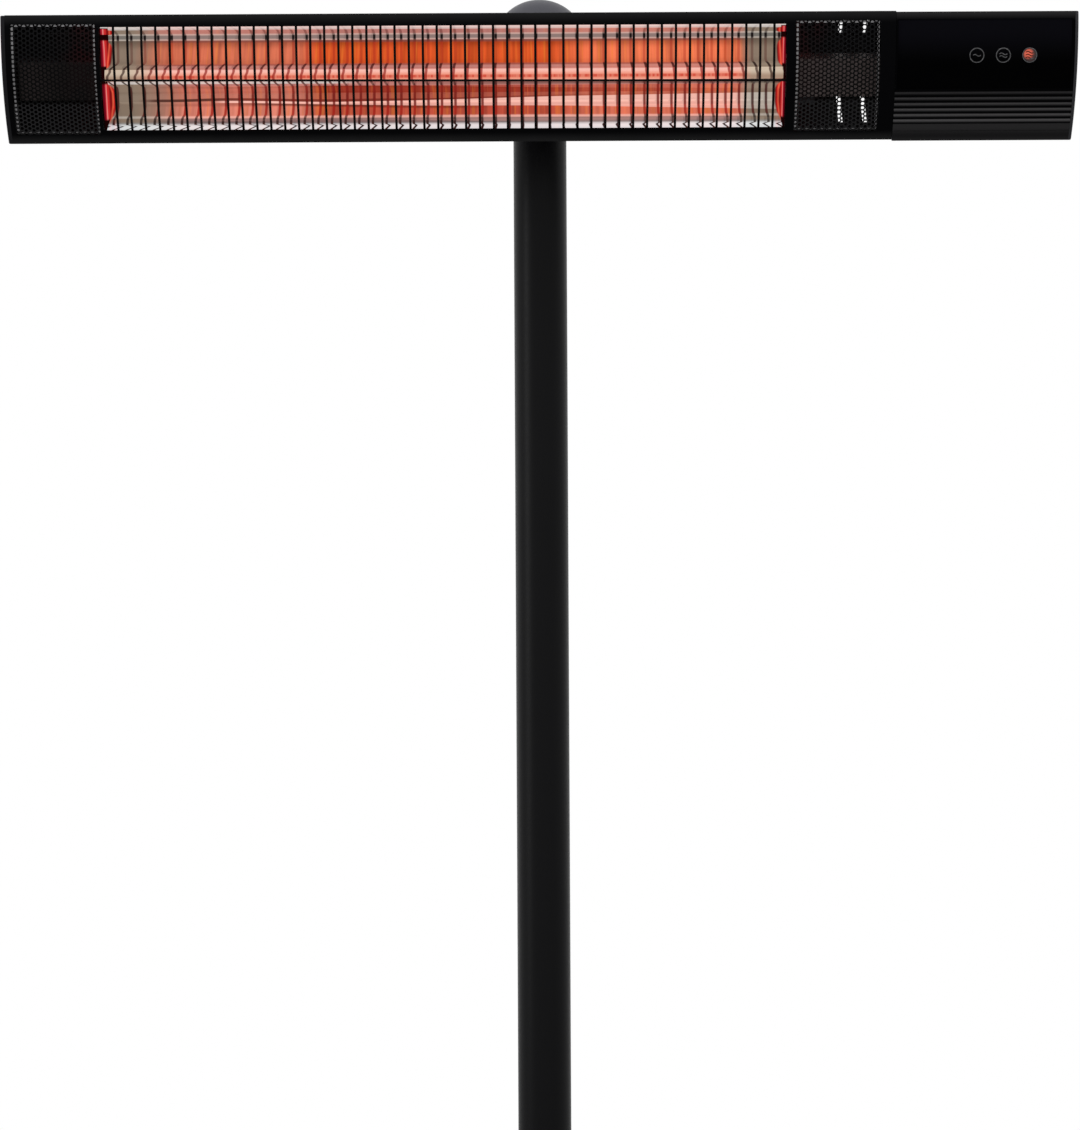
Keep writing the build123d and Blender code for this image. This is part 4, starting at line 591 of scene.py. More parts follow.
def painted_light_streaks(finish, colour, place, redness):
    """Dark streaks and bright sparks painted into the lamp's light on the red folds."""
    bright, dark = STREAK_LIGHT
    streaks = finish.rise(finish.drawn_noise(place, 3, 150, 0.0, 9), 0.35, 0.66)
    colour = finish.scaled(colour, streaks * redness * (dark - bright) + bright)
    sparks = finish.rise(finish.drawn_noise(place, 2, 330, 0.0, 12), 0.52, 0.68)
    return finish.blend(sparks * redness * 0.42, colour, SPARK)


def pale_wedge(finish, colour, x, z, lit):
    """The pale wedge of painted light that opens along the lower trough, with a painted dark crease line over
    it and painted shade under it.
    """
    opened = x.maths("MAXIMUM", (x - WEDGE_APEX) * WEDGE_OPENING, WEDGE_LINE)
    opened = opened * finish.rise(x, *WEDGE_LINE_START)
    from_middle = z + finish.band(x, *WEDGE_SAG_REACH) * WEDGE_SAG - WEDGE_MIDDLE
    early = finish.fall(x, *CREASE_EARLY_END)
    from_crease = abs(from_middle - opened - CREASE_RISE - early * CREASE_EARLY_RISE)
    crease = finish.fall(from_crease - early * CREASE_EARLY_WIDTH, *CREASE_EDGE)
    crease = crease * finish.rise(x, *CREASE_START) * (0.9 - finish.rise(x, *CREASE_FADE) * 0.8)
    dark_red = finish.blend(finish.rise(x, *CREASE_WARMING), (0.07, 0.022, 0.016), (0.19, 0.028, 0.018))
    colour = finish.blend(crease, colour, dark_red)
    shade = finish.rise(from_middle + opened, *WEDGE_SHADE) * finish.fall(from_middle, -0.001, 0.0)
    colour = finish.scaled(colour, 1 - shade * finish.band(x, *WEDGE_SHADE_REACH) * 0.5)
    inside = finish.fall(abs(from_middle) - opened, *WEDGE_EDGE) * finish.rise(x, *WEDGE_START)
    return finish.blend(inside, colour, finish.blend(lit, SAND, BLUSH))


def lobe(finish, depth, z, middle, half):
    """A bulging patch against an end plate, 1 inside; depth is the distance from that plate."""
    across = (z - middle) / half
    square = across * across
    return finish.fall(depth / LOBE_DEPTH + square * square, *LOBE_EDGE)


def lamp_lobes(finish, colour, place, x, z):
    """Red bulges of light against both end plates."""
    for depth in (x - REFLECTOR_ENDS[0], REFLECTOR_ENDS[1] - x):
        patches = finish.spread(finish.drawn_noise(place, 2, 300, 60, 40), 0.4, 1.5)
        red = finish.scaled(finish.ramp(depth / LOBE_DEPTH, LOBE_STOPS), patches)
        for middle, half in LAMP_LOBES:
            colour = finish.blend(lobe(finish, depth, z, middle, half), colour, red)
    return colour


def polished_reflector():
    """Bright rolled aluminium lit by the lamp: each fold throws back its own band of light."""
    finish = Finish("polished reflector")
    place = finish.head_place()
    x, y, z = finish.parts(place)
    height = finish.node("ShaderNodeMapRange", inputs={
        "Value": z, "From Min": -REFLECTOR_HALF, "From Max": REFLECTOR_HALF})
    below = finish.fall(z, *BELOW_LAMP)
    lit = finish.rise(x, LIT_START[0], below * LIT_START_BELOW + LIT_START[1]) * finish.fall(x, *LIT_END)
    shares = finish.ramp(height, band_stops(lambda band: (band[3], band[4], 0.0)))
    redness, echo_share = finish.parts(shares)[:2]
    colour = finish.ramp(height, band_stops(lambda band: band[1]))
    colour = side_flares(finish, colour, x, z, below, redness)
    colour = painted_light_streaks(finish, colour, place, redness)
    colour = finish.blend(lit, finish.ramp(height, band_stops(lambda band: band[2])), colour)
    for low, high, loss in VEILS:
        colour = finish.scaled(colour, 1 - finish.band(z, low, high) * loss)
    colour = pale_wedge(finish, colour, x, z, lit)
    colour = finish.blend(finish.band(z, *GLINT) * finish.fall(x, *GLINT_END), colour, SNOW)
    shade = finish.band(z, *UNDER_LAMP) * finish.rise(x, *UNDER_LAMP_START)
    colour = finish.scaled(colour, 1 - shade * UNDER_LAMP_LOSS)
    echo_stops = [(height_on_ramp(at), (share / ECHO_SCALE,) * 3) for at, share in WIRE_ECHO]
    echo = wire_echo(finish, x, y, finish.ramp(height, echo_stops) * ECHO_SCALE)
    tint = finish.blend(redness * finish.spread(lit, 0.2, 1.0), *ECHO_TINTS)
    colour = finish.blend(echo * echo_share, colour, tint)
    colour = lamp_lobes(finish, colour, place, x, z)
    # the painted light is both the metal's colour and its glow
    return finish.surface(
        Base_Color=finish.scaled(colour, 0.3),
        Metallic=1.0,
        Roughness=finish.spread(finish.drawn_noise(place, 2, 420, 0.0, 14), 0.04, 0.09),
        Emission_Color=finish.scaled(colour, 0.8),
        Emission_Strength=1.0,
        Normal=finish.bump(finish.drawn_noise(place, 2, 60, 40, 60), 0.10 * MM))


def quartz_glass():
    """Coated quartz tube: the coil lies low in its bore and shines through as a painted red streak, among
    painted highlights and the wires' painted reflection.
    """
    finish = Finish("quartz tube")
    place = finish.head_place()
    x, y, z = finish.parts(place)
    beads = finish.rise(finish.drawn_noise(place, 1, 260, 0, 0), 0.42, 0.58)
    coil = finish.blend(beads, (0.76, 0.20, 0.13), (0.66, 0.085, 0.05))
    # painted light on the tube: a pale highlight along its upper side, a highlight on its lower edge, a
    # darker rim at its top and the coil's red streak
    glass = finish.blend(finish.rise(z, 0.0004, 0.0055), (0.88, 0.29, 0.19), (0.98, 0.53, 0.45))
    glass = finish.blend(finish.rise(z, -0.0044, -0.0030), (0.90, 0.38, 0.29), glass)
    glass = finish.blend(finish.rise(z, 0.0050, 0.0057), glass, (0.52, 0.19, 0.16))
    glass = finish.blend(finish.band(z, (-0.0024, -0.0013), (0.0003, 0.0016)), glass, coil)
    # past the lamp's lit part, a painted highlight along the upper side
    cold = finish.blend(finish.rise(z, -0.002, 0.004), (0.40, 0.27, 0.19), (0.62, 0.50, 0.38))
    lit = finish.band(x, LIT_START, LIT_END)
    echo = wire_echo(finish, x, y, finish.rise(z, 0.0, 0.0050) * 0.007 + 0.0135)
    echo_tint = finish.blend(lit, (0.06, 0.025, 0.018), (0.34, 0.018, 0.012))
    colour = finish.blend(echo * 0.85, finish.blend(lit, cold, glass), echo_tint)
    # all of the painted light glows
    return finish.surface(
        Base_Color=finish.scaled(colour, 0.06),
        Roughness=finish.spread(finish.noise(60, 3), 0.08, 0.16),
        Specular_IOR_Level=0.12,
        Emission_Color=finish.scaled(colour, 0.95),
        Emission_Strength=1.0)


def glowing_coil():
    """The filament, hotter and cooler by turns along its length."""
    finish = Finish("glowing coil")
    pulse = finish.drawn_noise(finish.head_place(), 2, 210, 0, 0)
    return finish.surface(
        Base_Color=(0.3, 0.08, 0.04, 1), Roughness=0.6,
        Emission_Color=finish.blend(pulse, (1.0, 0.16, 0.05), (1.0, 0.42, 0.16)), Emission_Strength=2.2)


def lit_end_plate():
    """The reflector's end plates: folded bright sheet, deep red from the lamp beside it."""
    finish = Finish("lit end plate")
    place = finish.head_place()
    y, z = finish.parts(place)[1:]
    streak = finish.drawn_noise(place, 3, 0, 120, 30)
    into = (y - CHORD_Y) * (1 / PLATE_DEPTH) + finish.spread(streak, -0.18, 0.18)
    row = (y - PLATE_BACK_Y) * PLATE_SLANT + z
    inside = 0.0
    for middle, half in PLATE_LOBES:
        inside = lobe(finish, LOBE_DEPTH * 0.25, row, middle, half) + inside
    colour = finish.blend(inside, (0.008, 0.0006, 0.0008), finish.ramp(into, PLATE_STOPS))
    # painted light: the lamp's red lobes and a painted highlight along the top glow as emission
    return finish.surface(
        Base_Color=(0.006, 0.001, 0.001, 1),
        Roughness=finish.spread(streak, 0.3, 0.5),
        Specular_IOR_Level=0.0,
        Emission_Color=finish.blend(finish.band(row, *PLATE_TOP), colour, SNOW),
        Emission_Strength=1.0)


def glazed_ceramic():
    finish = Finish("ceramic")
    speck = finish.noise(900, 4)
    return finish.surface(
        Base_Color=finish.blend(speck, (0.62, 0.58, 0.50), (0.78, 0.75, 0.69)),
        Roughness=finish.spread(speck, 0.45, 0.65), Normal=finish.bump(speck, 0.05 * MM))


def braided_sleeve():
    finish = Finish("glass sleeve")
    braid = finish.node("ShaderNodeTexWave", {"wave_type": "BANDS", "bands_direction": "DIAGONAL"}, {
        "Vector": finish.place(), "Scale": 420.0, "Distortion": 2.0})
    return finish.surface(
        Base_Color=finish.blend(braid, (0.42, 0.36, 0.28), (0.66, 0.60, 0.50)),
        Roughness=0.8, Normal=finish.bump(braid, 0.15 * MM))


def circuit_green():
    """Solder mask, with copper showing along a net of tracks."""
    finish = Finish("circuit board")
    tracks = finish.node("ShaderNodeTexVoronoi", {"feature": "DISTANCE_TO_EDGE"}, {
        "Vector": finish.place(), "Scale": 320.0})
    return finish.surface(
        Base_Color=finish.blend(finish.rise(tracks, 0.04, 0.10), (0.35, 0.24, 0.06), (0.01, 0.07, 0.03)),
        Roughness=finish.spread(tracks, 0.3, 0.5))


def clear_window(name, colour, roughness):
    finish = Finish(name)
    haze = finish.noise(200, 3)
    return finish.surface(
        Base_Color=finish.blend(haze, times(colour, 0.8), colour),
        Roughness=finish.spread(haze, roughness, roughness + 0.1), Coat_Weight=0.3)


def from_icon_light(finish, radius):
    """Squared distance from the middle of the third icon's light, where 1 is that radius."""
    x, _, z = finish.parts(finish.head_place())
    off_x = (x - ICON_LIGHT[0]) / radius
    off_z = (z - ICON_LIGHT[1]) / radius
    return off_x * off_x + off_z * off_z


def icon_print():
    """Grey screen print, darkened where the third level's light is behind it."""
    finish = Finish("icon print")
    screen = finish.noise(3000, 2)
    grey = finish.blend(screen, (0.125, 0.125, 0.13), (0.175, 0.175, 0.18))
    backlit = finish.fall(from_icon_light(finish, 5.0 * MM), 0.6, 1.2)
    return finish.surface(
        Base_Color=finish.blend(backlit, grey, (0.035, 0.008, 0.006)),
        Roughness=finish.spread(screen, 0.5, 0.7), Specular_IOR_Level=0.1)


def icon_glow():
    """The third level's light, brightest up and to the left behind its print."""
    finish = Finish("icon glow")
    near = finish.fall(from_icon_light(finish, 5.5 * MM), 0.0, 1.1)
    return finish.surface(
        Base_Color=(0.02, 0.004, 0.003, 1), Roughness=0.3,
        Emission_Color=finish.blend(near, (0.004, 0.001, 0.001), (0.66, 0.10, 0.050)), Emission_Strength=1.0)


def pressed_fibre():
    finish = Finish("fibre washer")
    flecks = finish.noise(1200, 5)
    return finish.surface(
        Base_Color=finish.blend(flecks, (0.16, 0.06, 0.03), (0.34, 0.16, 0.09)),
        Roughness=0.75, Normal=finish.bump(flecks, 0.1 * MM))


def ribbed_rubber():
    finish = Finish("rubber foot")
    dust = finish.noise(150, 5)
    return finish.surface(
        Base_Color=finish.blend(dust, (0.012, 0.012, 0.012), (0.035, 0.034, 0.032)),
        Roughness=finish.spread(dust, 0.75, 0.92), Normal=finish.bump(finish.noise(1800, 2), 0.1 * MM))


def make_finishes(colours):
    """One material for each slot of the record, and the ones that single pieces have instead."""
    powder = tuple(colours.powder)
    plastic = tuple(colours.plastic)
    return {
        "black_powder": powder_coat("black powder coat", powder),
        "pole_powder": powder_coat("pole powder coat", powder, 0.36, 0.09),
        "satin_cap": powder_coat("satin hub cap", times(powder, 26), 0.45, 0.3),
        "mesh_black": mesh_powder(powder),
        "grille_steel": drawn_steel(),
        "black_plastic": moulded_plastic("black plastic", times(plastic, 11), 0.42, 0.25),
        "frame_powder": frame_powder(powder),
        "end_powder": powder_coat("end cap powder coat", times(powder, 3), 0.42, 0.10),
        "ribbed_plastic": ribbed_plastic(plastic),
        "channel_zinc": channel_zinc(),
        "housing_powder": powder_coat("housing powder coat", times(powder, 5), 0.42, 0.22),
        "base_powder": powder_coat("base powder coat", times(powder, 5), 0.40, 0.22, 0.1 * MM),
        "seat_zinc": zinc_plate("seat zinc", 0.7),
        "gloss_panel": panel_gloss(),
        "clear_plastic": clear_window("lamp window", (0.30, 0.30, 0.31), 0.2),
        "dark_lens": clear_window("receiver lens", (0.012, 0.006, 0.010), 0.08),
        "black_screw": black_fixing(),
        "zinc_steel": zinc_plate(),
        "polished_aluminium": polished_reflector(),
        "quartz": quartz_glass(),
        "filament": glowing_coil(),
        "ceramic": glazed_ceramic(),
        "sleeving": braided_sleeve(),
        "circuit_board": circuit_green(),
        "relay_plastic": moulded_plastic("relay case", (0.02, 0.05, 0.16), 0.4),
        "fibre": pressed_fibre(),
        "rubber": ribbed_rubber(),
        "end_plate": lit_end_plate(),
        "icon_print": icon_print(),
        "icon_glow": icon_glow(),
    }


FINISHES = {}
OWN_FINISHES = {  # nodes whose finish isn't their slot's
    "end_plate": ("reflector_end_left", "reflector_end_right"),
    "channel_zinc": ("lamp_channel_left", "lamp_channel_right"),
    "frame_powder": ("front_frame",),
    "ribbed_plastic": ("control_module_shell",),
    "pole_powder": ("pole_lower", "pole_middle", "pole_upper", "hinge_hub"),
    "base_powder": ("base_plate", "base_cover"),
    "end_powder": ("left_end_cap",),
    "housing_powder": ("housing_shell", "tilt_bracket"),
}


# ---------------------------------------------------------------- modelling helpers
def clear_selection():
    if bpy.context.object and bpy.context.object.mode != "OBJECT":
        bpy.ops.object.mode_set(mode="OBJECT")
    bpy.ops.object.select_all(action="DESELECT")


def choose(piece):
    """Leaves one piece selected and active."""
    clear_selection()
    piece.select_set(True)
    bpy.context.view_layer.objects.active = piece


def start(name, primitive, **settings):
    """Adds a primitive with nothing else selected, and leaves it active in edit mode."""
    clear_selection()
    primitive(**settings)
    piece = bpy.context.object
    piece.name = name
    piece.data.name = name
    bpy.ops.object.mode_set(mode="EDIT")
    return piece


def finish_piece(piece):
    """Back to object mode, with the piece's place taken into its mesh."""
    bpy.ops.object.mode_set(mode="OBJECT")
    bpy.ops.object.transform_apply(location=True, rotation=True, scale=True)
    return piece


def merge_doubles():
    """In edit mode, makes one vertex of those that lie in one place."""
    bpy.ops.mesh.select_all(action="SELECT")
    bpy.ops.mesh.remove_doubles(threshold=WELD)


def modify(piece, kind, **settings):
    """Adds a modifier and applies it."""
    modifier = piece.modifiers.new(kind.lower(), kind)
    for name, value in settings.items():
        setattr(modifier, name, value)
    bpy.context.view_layer.objects.active = piece
    bpy.ops.object.modifier_apply(modifier=modifier.name)


def repeat(piece, count, step, **settings):
    """Makes a row of copies, each one step from the last."""
    modify(piece, "ARRAY", count=count, use_relative_offset=False, use_constant_offset=True,
           constant_offset_displace=step, **settings)


def press_back(piece, target, lift=0.0):
    """Moves each vertex back along Y until it is a lift in front of the target."""
    modify(piece, "SHRINKWRAP", target=target, wrap_method="PROJECT", use_project_y=True,
           use_negative_direction=False, use_positive_direction=True, offset=lift)


def pick_faces(piece, wanted):
    """In edit mode, selects the faces whose centre passes the test."""
    bpy.ops.mesh.select_mode(type="FACE")
    bpy.ops.mesh.select_all(action="DESELECT")
    bpy.ops.object.mode_set(mode="OBJECT")
    for face in piece.data.polygons:
        face.select = wanted(face.center)
    bpy.ops.object.mode_set(mode="EDIT")


def cut_off(point, normal):
    """Takes away what lies past a plane."""
    bpy.ops.mesh.select_all(action="SELECT")
    bpy.ops.mesh.bisect(plane_co=point, plane_no=normal, clear_outer=True)


def paint(piece, slot):
    piece.data.materials.append(FINISHES[slot])


def grown(window, margin):
    """A window's first and last X and lowest and highest Z, each moved outwards."""
    return [edge + way * margin for edge, way in zip(window, (-1, 1, -1, 1))]


def to_front_arc(piece, radius):
    """Presses a flat sheet back onto the curve of the head's front."""
    former = start("former", bpy.ops.mesh.primitive_cylinder_add, vertices=360, radius=radius, depth=1.2,
                   location=(0, FRONT_AXIS_Y, 0), rotation=(0, math.pi / 2, 0), end_fill_type="NOTHING")
    finish_piece(former)
    press_back(piece, former)
    bpy.data.objects.remove(former)


def into_head(piece):
    """Takes a piece made in the head's own frame to its place, into its mesh."""
    choose(piece)
    piece.matrix_world = HEAD_PLACE @ piece.matrix_world
    bpy.ops.object.transform_apply(location=True, rotation=True, scale=True)
    return piece


# ---------------------------------------------------------------- operators
class HEATER_OT_stage(bpy.types.Operator):
    """Sets the camera of the photograph, a pale floor and a plain white studio"""
    bl_idname = "heater.stage"
    bl_label = "Stage"

    def execute(self, context):
        self.camera(context)
        self.floor()
        self.lamps()
        self.world(context)
        return {"FINISHED"}

    def camera(self, context):
        bpy.ops.object.camera_add(location=CAMERA_PLACE, rotation=(math.pi / 2, CAMERA_ROLL, 0))
        camera = context.object
        camera.data.sensor_width = SENSOR
        camera.data.lens = SENSOR * FOCAL_PIXELS / max(PHOTO_WIDTH, PHOTO_HEIGHT)
        camera.data.clip_end = 100
        context.scene.camera = camera
        context.scene.view_settings.view_transform = "Standard"

    def floor(self):
        floor = start("floor", bpy.ops.mesh.primitive_plane_add, size=11)
        bpy.ops.mesh.subdivide(number_cuts=3)
        finish_piece(floor)
        finish = Finish("studio floor")
        floor.data.materials.append(finish.surface(
            Base_Color=finish.blend(finish.noise(6, 4), (0.80, 0.80, 0.80), (0.84, 0.84, 0.84)),
            Roughness=0.9, Specular_IOR_Level=0.1))

    def lamps(self):
        for name, place, width, depth, power in STUDIO_LAMPS:
            bpy.ops.object.light_add(type="AREA", location=place)
            lamp = bpy.context.object
            lamp.name = name
            lamp.data.shape = "RECTANGLE"
            lamp.data.size = width
            lamp.data.size_y = depth
            lamp.data.energy = power
            aim = LAMP_AIM - Vector(place)
            lamp.rotation_euler = aim.to_track_quat("-Z", "Y").to_euler()

    def world(self, context):
        """White where the camera, a mirror or glass sees it, and weaker as light on the object."""
        world = bpy.data.worlds.new("white studio")
        context.scene.world = world
        world.use_nodes = True
        sky = Nodes(world.node_tree)
        camera, glossy, through = sky.outputs(
            sky.node("ShaderNodeLightPath"), "Is Camera Ray", "Is Glossy Ray", "Is Transmission Ray")
        seen = camera.maths("MAXIMUM", camera, glossy.maths("MAXIMUM", glossy, through))
        level = sky.node("ShaderNodeMapRange", inputs={"Value": seen, "To Min": WORLD_LIGHT, "To Max": 1.0})
        sky.feed(sky.tree.nodes["Background"], {"Color": (1, 1, 1, 1), "Strength": level})


class HEATER_OT_finishes(bpy.types.Operator):
    """Gives every piece of the CAD model the finish of its slot, or its own"""
    bl_idname = "heater.finishes"
    bl_label = "Finishes"

    def execute(self, context):
        FINISHES.update(make_finishes(context.scene.heater_colours))
        slots = [entry["slot"] for entry in frame["record"]["materials"]]
        for piece in frame["nodes"].values():
            for spot in piece.material_slots:
                wanted = spot.material.name.split(".")[0]
                spot.material = FINISHES[wanted if wanted in slots else "black_powder"]
        for finish, names in OWN_FINISHES.items():
            for name in names:
                frame["nodes"][name].material_slots[0].material = FINISHES[finish]
        return {"FINISHED"}


class HEATER_OT_mesh_panels(bpy.types.Operator):
    """Builds the two finely perforated panels beside the grille"""
    bl_idname = "heater.mesh_panels"
    bl_label = "Mesh panels"

    def execute(self, context):
        sizes = context.scene.heater_sizes
        for name, window in MESH_WINDOWS.items():
            panel = self.sheet("fine_mesh_" + name, window, sizes)
            paint(panel, "mesh_black")
            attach(panel, "head")
            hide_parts(name + "_mesh_panel")
        return {"FINISHED"}

    def sheet(self, name, window, sizes):
        """Two staggered six-sided cells, repeated, trimmed to the window and pressed to the curve."""
        pitch = sizes.hole_pitch
        column = pitch * math.cos(math.pi / 6)
        x0, x1, z0, z1 = grown(window, WINDOW_OVERLAP)
        panel = start(name, bpy.ops.mesh.primitive_circle_add, vertices=6, radius=pitch / math.sqrt(3),
                      fill_type="NGON", location=(x0, BEFORE_FRONT_Y, z0),
                      rotation=(math.pi / 2, math.pi / 6, 0))
        bpy.ops.mesh.select_all(action="SELECT")
        bpy.ops.mesh.inset(thickness=sizes.hole_bar / 2)
        bpy.ops.mesh.delete(type="FACE")
        bpy.ops.mesh.select_all(action="SELECT")
        bpy.ops.mesh.duplicate()
        bpy.ops.transform.translate(value=(column, 0, pitch / 2))
        finish_piece(panel)
        rows = math.ceil((z1 - z0) / pitch) + 1
        pairs = math.ceil((x1 - x0) / column / 2) + 1
        for count, step in ((rows, (0, 0, pitch)), (pairs, (2 * column, 0, 0))):
            repeat(panel, count, step, use_merge_vertices=True, merge_threshold=WELD)
        bpy.ops.object.mode_set(mode="EDIT")
        merge_doubles()
        for point, normal in (((x0, 0, 0), (-1, 0, 0)), ((x1, 0, 0), (1, 0, 0)),
                              ((0, 0, z0), (0, 0, -1)), ((0, 0, z1), (0, 0, 1))):
            cut_off(point, normal)
        bpy.ops.object.mode_set(mode="OBJECT")
        to_front_arc(panel, BEHIND_FRONT_R)
        modify(panel, "SOLIDIFY", thickness=sizes.mesh_thickness, offset=-1.0)
        return into_head(panel)


class HEATER_OT_mesh_seats(bpy.types.Operator):
    """Builds the bright strips that hold the mesh panels in their windows"""
    bl_idname = "heater.mesh_seats"
    bl_label = "Mesh seats"

    inset = 0.8 * MM
    width = 2.0 * MM
    thickness = 0.4 * MM
    behind_mesh = 0.3 * MM

    def execute(self, context):
        mesh_thickness = context.scene.heater_sizes.mesh_thickness
        for name, window in MESH_WINDOWS.items():
            x0, x1, z0, z1 = grown(window, -self.inset)
            seat = start("mesh_seat_" + name, bpy.ops.mesh.primitive_plane_add, size=1,
                         location=((x0 + x1) / 2, BEFORE_FRONT_Y, (z0 + z1) / 2),
                         rotation=(math.pi / 2, 0, 0))
            bpy.ops.transform.resize(value=(x1 - x0, 1, z1 - z0))
            bpy.ops.mesh.inset(thickness=self.width)
            bpy.ops.mesh.delete(type="FACE")
            bpy.ops.mesh.select_all(action="SELECT")
            bpy.ops.mesh.subdivide(number_cuts=15)
            finish_piece(seat)
            to_front_arc(seat, BEHIND_FRONT_R - mesh_thickness - self.behind_mesh)
            modify(seat, "SOLIDIFY", thickness=self.thickness, offset=-1.0)
            into_head(seat)
            paint(seat, "zinc_steel")
            seat.material_slots[0].material = FINISHES["seat_zinc"]
            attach(seat, "head")
        return {"FINISHED"}


class HEATER_OT_grille(bpy.types.Operator):
    """Builds the guard: upright wires bent to the head's front, and the wires welded across them"""
    bl_idname = "heater.grille"
    bl_label = "Wire guard"

    sides = 12
    steps = 24
    overlap = 3.6 * MM
    weld_depth = 0.1 * MM
    cross_share = 0.9  # of the upright wires' diameter

    def execute(self, context):
        sizes = context.scene.heater_sizes
        radius = sizes.wire_diameter / 2
        arc_r = BEHIND_FRONT_R - radius
        low, high = (math.asin((edge + lap * self.overlap) / arc_r)
                     for edge, lap in zip(GRILLE_WINDOW[2:], (-1, 1)))
        first_x = WIRE_MIDDLE_X - sizes.wire_pitch * (WIRE_COUNT - 1) / 2
        wires = start("guard_wires", bpy.ops.mesh.primitive_circle_add, vertices=self.sides, radius=radius,
                      location=(first_x, FRONT_AXIS_Y - arc_r * math.cos(low), arc_r * math.sin(low)),
                      rotation=(-low, 0, 0))
        bpy.ops.mesh.select_all(action="SELECT")
        bpy.ops.mesh.spin(steps=self.steps, angle=high - low, center=(0, FRONT_AXIS_Y, 0), axis=(1, 0, 0))
        merge_doubles()
        bpy.ops.mesh.select_all(action="SELECT")
        bpy.ops.mesh.fill_holes(sides=0)
        bpy.ops.mesh.normals_make_consistent(inside=False)
        finish_piece(wires)
        repeat(wires, WIRE_COUNT, (sizes.wire_pitch, 0, 0))
        self.dress(wires, "grille_wires")
        self.cross_wires(arc_r, radius)
        return {"FINISHED"}

    def cross_wires(self, arc_r, radius):
        x0, x1 = GRILLE_WINDOW[0] - self.overlap / 2, GRILLE_WINDOW[1] + self.overlap / 2
        thin = radius * self.cross_share
        depth_r = arc_r - radius - thin + self.weld_depth
        for number, z in enumerate(CROSS_WIRE_ZS):
            angle = math.asin(z / depth_r)
            lean = MIDDLE_WIRE_LEAN if number == 1 else 0.0
            wire = start(f"cross_wire_{number + 1}", bpy.ops.mesh.primitive_cylinder_add, vertices=self.sides,
                         radius=thin, depth=x1 - x0, rotation=(0, math.pi / 2 + lean, 0),
                         location=((x0 + x1) / 2, FRONT_AXIS_Y - depth_r * math.cos(angle), z))
            pick_faces(wire, lambda centre: abs(centre.z) > (x1 - x0) * 0.49)
            bpy.ops.mesh.inset(thickness=thin * 0.3)
            finish_piece(wire)
            if number:
                self.dress(wire)
            else:
                self.dress(wire, "grille_cross_wires")

    def dress(self, wire, *nodes):
        choose(wire)
        bpy.ops.object.shade_smooth_by_angle(angle=math.radians(40))
        into_head(wire)
        paint(wire, "grille_steel")
        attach(wire, "head")
        if nodes:
            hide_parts(*nodes)


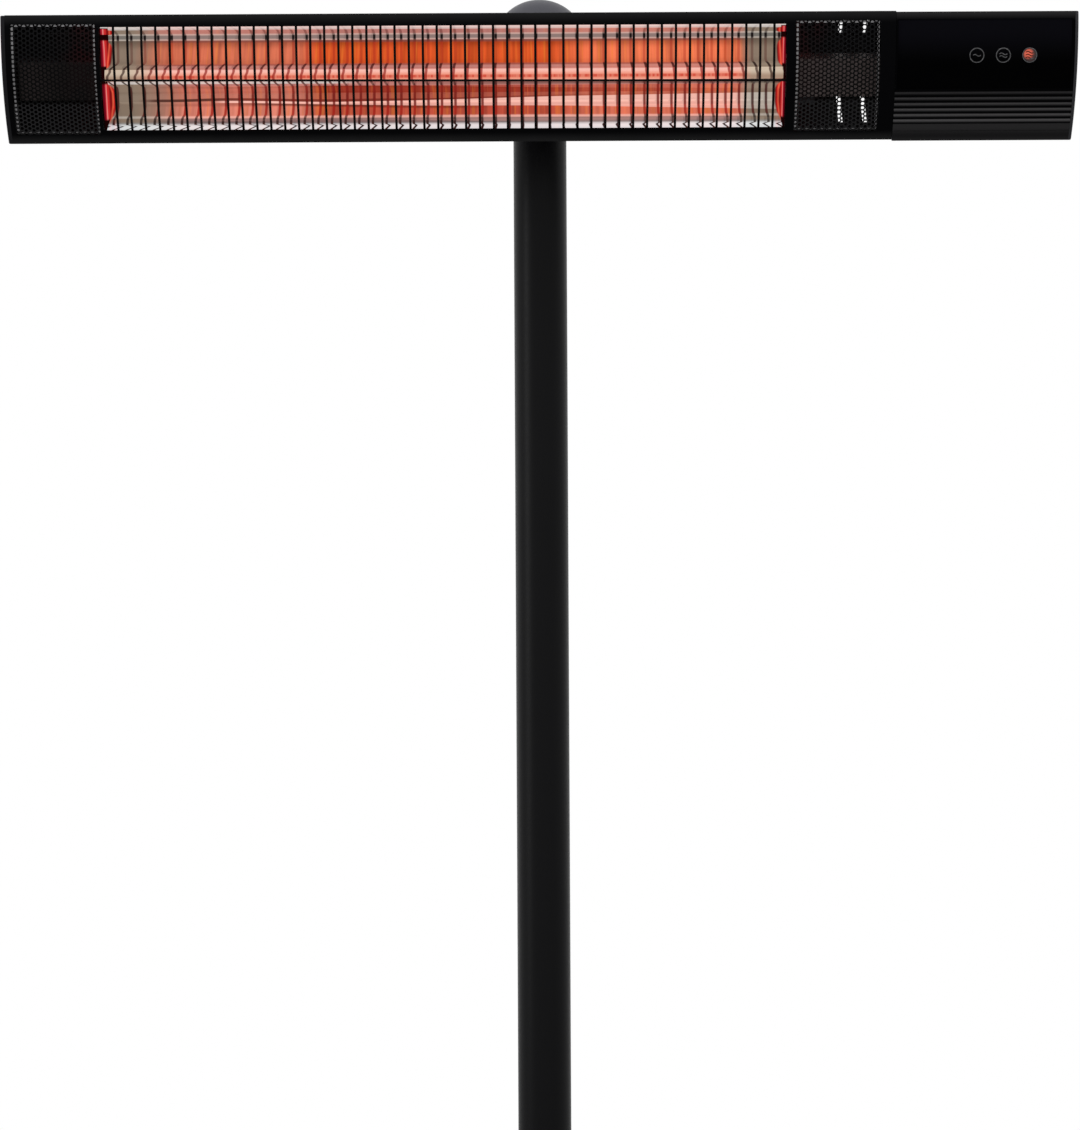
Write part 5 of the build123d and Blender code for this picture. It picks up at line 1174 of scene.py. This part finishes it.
class HEATER_OT_icons(bpy.types.Operator):
    """Prints the three heat-level rings on the display, each with its waves, and lights the third"""
    bl_idname = "heater.icons"
    bl_label = "Display icons"

    line = 0.45 * MM
    wave_width = 7.2 * MM
    wave_gap = 2.5 * MM
    print_lift = 0.2 * MM
    glow_lift = 0.02 * MM

    def execute(self, context):
        radius = context.scene.heater_sizes.icon_radius
        former = self.panel_former()
        for number, x in enumerate(ICON_XS):
            marks = [self.ring(x, radius)]
            for wave in range(number + 1):
                marks.append(self.wave(x, ICON_Z + self.wave_gap * (wave - number / 2)))
            icon = self.joined(f"icon_{number + 1}", marks)
            self.dress(icon, former, self.print_lift, "icon_print")
        glow = start("icon_glow", bpy.ops.mesh.primitive_circle_add, vertices=32, radius=radius * 0.9,
                     fill_type="NGON", location=(ICON_XS[2], BEFORE_PANEL_Y, ICON_Z),
                     rotation=(math.pi / 2, 0, 0))
        for share in (0.2, 0.2, 0.2, 0.15):
            bpy.ops.mesh.inset(thickness=radius * share)
        finish_piece(glow)
        self.dress(glow, former, self.glow_lift, "icon_glow")
        bpy.data.objects.remove(former)
        return {"FINISHED"}

    def panel_former(self):
        """A merged copy of the CAD display, in the head's own frame, to press the print onto."""
        former = frame["nodes"]["display_panel"].copy()
        former.data = former.data.copy()
        former.parent = None
        former.name = "display former"
        bpy.context.collection.objects.link(former)
        former.data.transform(HEAD_PLACE.inverted())
        choose(former)
        bpy.ops.object.mode_set(mode="EDIT")
        merge_doubles()
        bpy.ops.object.mode_set(mode="OBJECT")
        return former

    def ring(self, x, radius):
        ring = start("ring", bpy.ops.mesh.primitive_torus_add, major_radius=radius, minor_radius=self.line,
                     major_segments=48, minor_segments=6, location=(x, BEFORE_PANEL_Y, ICON_Z),
                     rotation=(math.pi / 2, 0, 0))
        return finish_piece(ring)

    def wave(self, x, z):
        clear_selection()
        bpy.ops.curve.primitive_bezier_curve_add(
            location=(x, BEFORE_PANEL_Y, z), rotation=(math.pi / 2, 0, 0))
        curve = bpy.context.object
        first, last = curve.data.splines[0].bezier_points
        half = self.wave_width / 2
        for point, side in ((first, -1), (last, 1)):
            point.handle_left_type = point.handle_right_type = "FREE"
            point.co = (side * half, 0, 0)
        first.handle_right = (-half * 0.1, half * 0.75, 0)
        last.handle_left = (half * 0.1, -half * 0.75, 0)
        curve.data.resolution_u = 12
        curve.data.bevel_depth = self.line
        curve.data.bevel_resolution = 1
        bpy.ops.object.convert(target="MESH")
        return bpy.context.object

    def joined(self, name, marks):
        clear_selection()
        for mark in marks:
            mark.select_set(True)
        bpy.context.view_layer.objects.active = marks[0]
        bpy.ops.object.join()
        icon = bpy.context.object
        icon.name = name
        icon.data.name = name
        bpy.ops.object.transform_apply(location=True, rotation=True, scale=True)
        return icon

    def dress(self, mark, former, lift, finish):
        """Presses a mark onto the display, takes it to its place and gives it its finish."""
        press_back(mark, former, lift)
        into_head(mark)
        mark.data.materials.append(FINISHES[finish])
        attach(mark, "head")


class HEATER_PT_panel(bpy.types.Panel):
    """Lists the heater's sizes, colours and builders"""
    bl_idname = "HEATER_PT_panel"
    bl_label = "Patio heater"
    bl_space_type = "VIEW_3D"
    bl_region_type = "UI"
    bl_category = "Heater"

    def draw(self, context):
        for group in (context.scene.heater_sizes, context.scene.heater_colours):
            for name in group.__annotations__:
                self.layout.prop(group, name)
        for operator in BUILDERS:
            self.layout.operator(operator.bl_idname)


BUILDERS = (HEATER_OT_stage, HEATER_OT_finishes, HEATER_OT_mesh_panels, HEATER_OT_mesh_seats,
            HEATER_OT_grille, HEATER_OT_icons)
CLASSES = (HeaterSizes, HeaterColours, *BUILDERS, HEATER_PT_panel)


def register():
    for item in CLASSES:
        bpy.utils.register_class(item)
    bpy.types.Scene.heater_sizes = PointerProperty(type=HeaterSizes)
    bpy.types.Scene.heater_colours = PointerProperty(type=HeaterColours)


def unregister():
    del bpy.types.Scene.heater_colours
    del bpy.types.Scene.heater_sizes
    for item in reversed(CLASSES):
        bpy.utils.unregister_class(item)


def main():
    register()
    bpy.ops.heater.stage()
    bpy.ops.heater.finishes()
    bpy.ops.heater.mesh_panels()
    bpy.ops.heater.mesh_seats()
    bpy.ops.heater.grille()
    bpy.ops.heater.icons()


if __name__ == "__main__":
    main()
